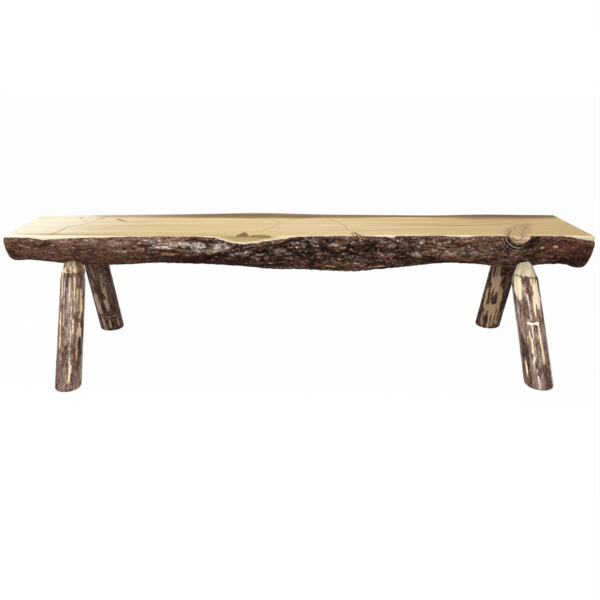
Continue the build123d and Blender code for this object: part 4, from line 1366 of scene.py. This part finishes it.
class LOGBENCH_OT_legs(bpy.types.Operator):
    """Peels the four poles, with their shoulders, knots and what is left of their bark"""

    bl_idname = "logbench.legs"
    bl_label = "Pole legs"

    def execute(self, context):
        """Makes the poles, and gives the wedges in their tenons their material."""
        look = context.scene.log_bench_poles
        split_wood = wedge_material(look)
        for number, name in enumerate(LEGS):
            self.make_leg(name, POLES[name], 100 + 20 * number, look)
            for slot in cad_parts["tenon_wedge_" + name].material_slots:
                slot.link = "OBJECT"
                slot.material = split_wood
        return {"FINISHED"}

    def make_leg(self, name, pole, seed, look):
        """Makes one pole on its solid leg's line, with that leg's tenon on top."""
        foot, head = leg_axis(name)
        turns = np.linspace(0, 2 * pi, POLE_SIDES, endpoint=False)
        levels, reaches = measure_pole(name, foot, head, turns)
        cut = levels[-1]
        bm = pole_blank(levels, POLE_SIDES)
        blank = np.array([v.co for v in bm.verts])
        ring = np.rint(blank[:, 2] / (RING_GAP * MM)).astype(int)
        turn = np.arctan2(blank[:, 0], -blank[:, 1])
        side = np.rint(turn / (2 * pi) * POLE_SIDES).astype(int) % POLE_SIDES
        z, degrees = blank[:, 2] / MM, np.degrees(turn)
        at = np.stack([POLE_RADIUS * np.sin(turn), -POLE_RADIUS * np.cos(turn), z], axis=1)
        fields = pole_fields(z, degrees, at, pole, seed)
        rise = pole_rise(z, at, fields, cut / MM, look.peel, seed)
        radius = (reaches[ring, side] / MM + rise) * MM
        height = blank[:, 2]
        foot_at, line = np.array(foot), np.array(head) - np.array(foot)
        centre = foot_at[None, :] + line[None, :] * (height / head.z)[:, None]
        x, y = centre[:, 0] + np.sin(turn) * radius, centre[:, 1] - np.cos(turn) * radius
        for vert, spot in zip(bm.verts, np.stack([x, y, height], axis=1)):
            vert.co = spot
        self.close(bm, name, cut)
        mesh = bpy.data.meshes.new("pole_" + name)
        bm.to_mesh(mesh)
        bm.free()
        for field, values in fields.items():
            set_field(mesh, field, values)
        # Coordinates for the material's patterns, which differ from pole to pole.
        pattern = mesh.attributes.new("along", "FLOAT_VECTOR", "POINT")
        padded = np.zeros((len(mesh.vertices), 3), np.float32)
        padded[: len(at)] = at * MM + seed
        pattern.data.foreach_set("vector", padded.ravel())
        shade_smooth(mesh, 50)
        material = pole_material(look, name, pole.look)
        piece_from(mesh, "pole_" + name, material, "leg_pole", "leg_" + name)

    def close(self, bm, name, cut):
        """Closes the foot, and sets the CAD leg's own tenon, with its kerf, on the open top."""
        rim = [e for e in bm.edges if e.is_boundary and e.verts[0].co.z < MM and e.verts[1].co.z < MM]
        bmesh.ops.contextual_create(bm, geom=rim)
        tenon = bmesh.new()
        tenon.from_mesh(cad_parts["leg_" + name].data)
        bmesh.ops.remove_doubles(tenon, verts=tenon.verts[:], dist=WELD * MM)
        everything = tenon.verts[:] + tenon.edges[:] + tenon.faces[:]
        start = (0, 0, cut + TENON_GAP * MM)
        bmesh.ops.bisect_plane(
            tenon, geom=everything, plane_co=start, plane_no=(0, 0, 1), clear_inner=True
        )
        mesh = bpy.data.meshes.new("tenon")
        tenon.to_mesh(mesh)
        tenon.free()
        bm.from_mesh(mesh)
        bpy.data.meshes.remove(mesh)
        open_edges = [e for e in bm.edges if e.is_boundary]
        bmesh.ops.bridge_loops(bm, edges=open_edges)
        bmesh.ops.recalc_face_normals(bm, faces=bm.faces[:])


# ---------------------------------------------------------------- floor, light and camera
class LOGBENCH_OT_stage(bpy.types.Operator):
    """Sets the bench on a plain pale floor, in soft light, before a camera"""

    bl_idname = "logbench.stage"
    bl_label = "Floor, light and camera"

    def execute(self, context):
        """Lays the floor, hangs the lamps and sets up the camera."""
        look = context.scene.log_bench_stage
        scene = context.scene
        self.lay_floor(scene, look)
        self.light_world(scene, look)
        for lamp in LAMPS:
            self.hang_lamp(scene, lamp, getattr(look, lamp.name))
        self.set_camera(scene)
        scene.view_settings.view_transform = "Standard"
        return {"FINISHED"}

    def lay_floor(self, scene, look):
        """Lays a plain floor under the bench."""
        bm = bmesh.new()
        bmesh.ops.create_grid(bm, x_segments=1, y_segments=1, size=FLOOR_SIZE)
        mesh = bpy.data.meshes.new("floor")
        bm.to_mesh(mesh)
        bm.free()
        floor = bpy.data.objects.new("floor", mesh)
        scene.collection.objects.link(floor)
        mesh.materials.append(floor_material(look))

    def light_world(self, scene, look):
        """Fills the scene with even light, which shows white."""
        world = bpy.data.worlds.new("studio")
        scene.world = world
        world.use_nodes = True
        nodes = Nodes(world.node_tree)
        back = world.node_tree.nodes["Background"]
        back.inputs["Color"].default_value = (1, 1, 1, 1)
        nodes.put(nodes.ramp(nodes.seen_straight(), 0, 1, look.fill, 1.0), back.inputs["Strength"])

    def hang_lamp(self, scene, lamp, power):
        """Hangs one flat rectangular lamp, turned to what it lights."""
        light = bpy.data.lights.new(lamp.name, "AREA")
        light.shape = "RECTANGLE"
        light.size, light.size_y = lamp.size
        light.energy = power
        holder = bpy.data.objects.new(lamp.name, light)
        holder.location = lamp.place
        holder.rotation_mode = "QUATERNION"
        holder.rotation_quaternion = (Vector(lamp.aim) - Vector(lamp.place)).to_track_quat("-Z", "Y")
        holder.visible_camera = False
        scene.collection.objects.link(holder)

    def set_camera(self, scene):
        """Sets up the camera in front of the bench, a little above it."""
        camera = bpy.data.cameras.new("camera")
        camera.sensor_width = CAMERA_SENSOR
        camera.lens = CAMERA_LENS
        camera.shift_x, camera.shift_y = CAMERA_SHIFT
        holder = bpy.data.objects.new("camera", camera)
        holder.location = CAMERA_PLACE
        holder.rotation_euler = (radians(90 - CAMERA_DIP), 0, 0)
        scene.collection.objects.link(holder)
        scene.camera = holder


def floor_material(look):
    """A pale floor that shows white, and keeps the bench's shadow."""
    material, nodes, shader, _ = new_material("pale_floor")
    nodes.put(tuple(look.floor), shader.inputs["Base Color"])
    shader.inputs["Roughness"].default_value = 0.9
    shader.inputs["Specular IOR Level"].default_value = 0.0
    glow = nodes.add("Emission", {"Color": (1, 1, 1), "Strength": 1.0})
    white = nodes.times(nodes.seen_straight(), look.whiten)
    both = nodes.add("MixShader", {0: white, 1: shader.outputs[0], 2: glow.outputs[0]})
    nodes.put(both.outputs[0], material.node_tree.nodes["Material Output"].inputs[0])
    return material


# ---------------------------------------------------------------- what a user would change
def color_of(name, description, default):
    """A property for a colour."""
    return FloatVectorProperty(
        name=name, description=description, default=default, size=3, min=0, max=1, subtype="COLOR"
    )


def factor(name, description, default, top=1):
    """A property for a share, or for how strong something is."""
    return FloatProperty(
        name=name, description=description, default=default, min=0, max=top, subtype="FACTOR"
    )


def length(name, description, default, top):
    """A property for a length, in metres."""
    return FloatProperty(name=name, description=description, default=default, min=0, max=top, unit="LENGTH")


def power(name, description, default):
    """A property for a lamp's power, in watts."""
    return FloatProperty(name=name, description=description, default=default, min=0, unit="POWER")


class LogBenchBark(bpy.types.PropertyGroup):
    """The bark's relief, varnish and colours"""

    relief: factor("Relief", "Depth of the bark's plates, folds and humps", 1.0, top=2)
    varnish: factor("Varnish", "Clear varnish over the bark", 0.8)
    shade: color_of("Shade", "Darkest bark", (0.020, 0.009, 0.005))
    brown: color_of("Brown", "Most of the bark", (0.310, 0.152, 0.100))
    red: color_of("Red", "Red-brown patches", (0.240, 0.080, 0.048))
    # Pale grit, and the painted sheen over the grey zones.
    dust_and_sheen: color_of("Dust", "Pale grit on the bark", (0.32, 0.225, 0.175))
    # Grey flecks and painted glints on the high spots.
    silver: color_of("Silver", "Grey flecks on the high spots", (0.68, 0.58, 0.51))
    tan: color_of("Tan", "Small places where the bark is worn through", (0.52, 0.36, 0.20))
    # Painted shade at the bottom of the cracks and folds.
    crack: color_of("Crack", "Bottom of cracks and folds", (0.008, 0.004, 0.003))


class LogBenchWood(bpy.types.PropertyGroup):
    """The sawn log's cracks, varnish and colours"""

    crack_depth: length("Crack depth", "Depth of the fine cracks in the top", 0.0012, 0.003)
    varnish: factor("Varnish", "Clear varnish over the planed wood", 0.12)
    # Cream wood with a painted sheen, near white.
    pale: color_of("Pale", "Wood at the bench's left-hand end", (0.99, 0.95, 0.78))
    straw: color_of("Straw", "Wood along the bench's left half", (0.82, 0.67, 0.395))
    gold: color_of("Gold", "Wood at the bench's right-hand end", (0.66, 0.49, 0.24))
    end_grain: color_of("End grain", "Wood of the two sawn ends", (0.60, 0.43, 0.22))
    honey: color_of("Honey", "Broad streaks", (0.55, 0.38, 0.155))
    late: color_of("Late", "Dark part of each ring, and soft lines", (0.40, 0.26, 0.13))
    rim: color_of("Rim", "Pale wood next to the bark", (0.86, 0.76, 0.54))
    hollow: color_of("Hollow", "Wood in the hollow of the front edge", (0.31, 0.235, 0.11))
    lip: color_of("Lip", "Edge of the wood just above the bark", (0.58, 0.51, 0.37))
    rosy: color_of("Rosy", "Reddish marks", (0.15, 0.060, 0.024))
    margin: color_of("Margin", "Brown band along the rear edge", (0.25, 0.14, 0.06))
    stain: color_of("Stain", "Edges of knots and of the rear band", (0.13, 0.065, 0.03))
    knot_wood: color_of("Knot wood", "Wood of the branch in the top", (0.56, 0.37, 0.19))
    stub: color_of("Stub", "Sawn face of the branch stub", (0.56, 0.40, 0.30))
    stub_ring: color_of("Stub rings", "Rings in the stub's face", (0.28, 0.17, 0.11))
    # Painted shade in the fine cracks.
    crack: color_of("Crack", "Fine cracks", (0.06, 0.035, 0.02))


class LogBenchPoles(bpy.types.PropertyGroup):
    """The poles' peeling, varnish and shared colours"""

    peel: factor("Peel", "How deep the bark is peeled away", 1.0, top=1.5)
    varnish: factor("Varnish", "Clear varnish over the poles", 0.9)
    cambium: color_of("Cambium", "Edges of the bare patches", (0.27, 0.155, 0.085))
    # Grey film on the inner bark, with a painted sheen where the poles shine.
    film: color_of("Film", "Thin grey film on the inner bark", (0.36, 0.275, 0.235))
    # A painted highlight on a pale facet of a shoulder.
    fresh_and_highlight: color_of("Fresh", "Pale facet on a shoulder", (0.95, 0.88, 0.74))
    amber: color_of("Amber", "Resin-stained flakes", (0.62, 0.33, 0.15))
    knot: color_of("Knot", "Knots and stains", (0.030, 0.017, 0.012))
    wedge: color_of("Wedge", "Wedges in the tenons", (0.62, 0.45, 0.27))


class LogBenchStage(bpy.types.PropertyGroup):
    """The floor and the light"""

    floor: color_of("Floor", "Colour of the floor", (0.85, 0.85, 0.85))
    whiten: factor("Whiten", "How white the floor shows to the camera", 0.97)
    fill: factor("Fill", "Strength of the light from all round", 0.34, top=2)
    key: power("Key", "Power of the large lamp in front", 36.0)
    strip: power("Strip", "Power of the tall narrow lamp in front", 60.0)
    window: power("Window", "Power of the lamp behind the left-hand end", 2.2)
    side: power("Side", "Power of the lamp beside the left-hand end", 6.5)
    overhead: power("Overhead", "Power of the lamp overhead", 32.0)


class LOGBENCH_PT_panel(bpy.types.Panel):
    """The bench's pieces, in the order in which they are made"""

    bl_idname = "LOGBENCH_PT_panel"
    bl_label = "Log bench"
    bl_space_type = "VIEW_3D"
    bl_region_type = "UI"
    bl_category = "Log bench"

    def draw(self, context):
        """Draws a button for each operator."""
        for operator in OPERATORS:
            self.layout.operator(operator.bl_idname)


OPERATORS = (LOGBENCH_OT_bark, LOGBENCH_OT_wood, LOGBENCH_OT_legs, LOGBENCH_OT_stage)
SETTINGS = {
    "log_bench_bark": LogBenchBark,
    "log_bench_wood": LogBenchWood,
    "log_bench_poles": LogBenchPoles,
    "log_bench_stage": LogBenchStage,
}


def register():
    """Registers the settings, the operators and the panel."""
    for cls in (*SETTINGS.values(), *OPERATORS, LOGBENCH_PT_panel):
        bpy.utils.register_class(cls)
    for name, group in SETTINGS.items():
        setattr(bpy.types.Scene, name, PointerProperty(type=group))


def unregister():
    """Takes out what register has put in."""
    for name in SETTINGS:
        delattr(bpy.types.Scene, name)
    for cls in reversed((*SETTINGS.values(), *OPERATORS, LOGBENCH_PT_panel)):
        bpy.utils.unregister_class(cls)


def main():
    """Makes the whole bench and its stage."""
    register()
    bpy.ops.logbench.bark()
    bpy.ops.logbench.wood()
    bpy.ops.logbench.legs()
    bpy.ops.logbench.stage()


if __name__ == "__main__":
    main()
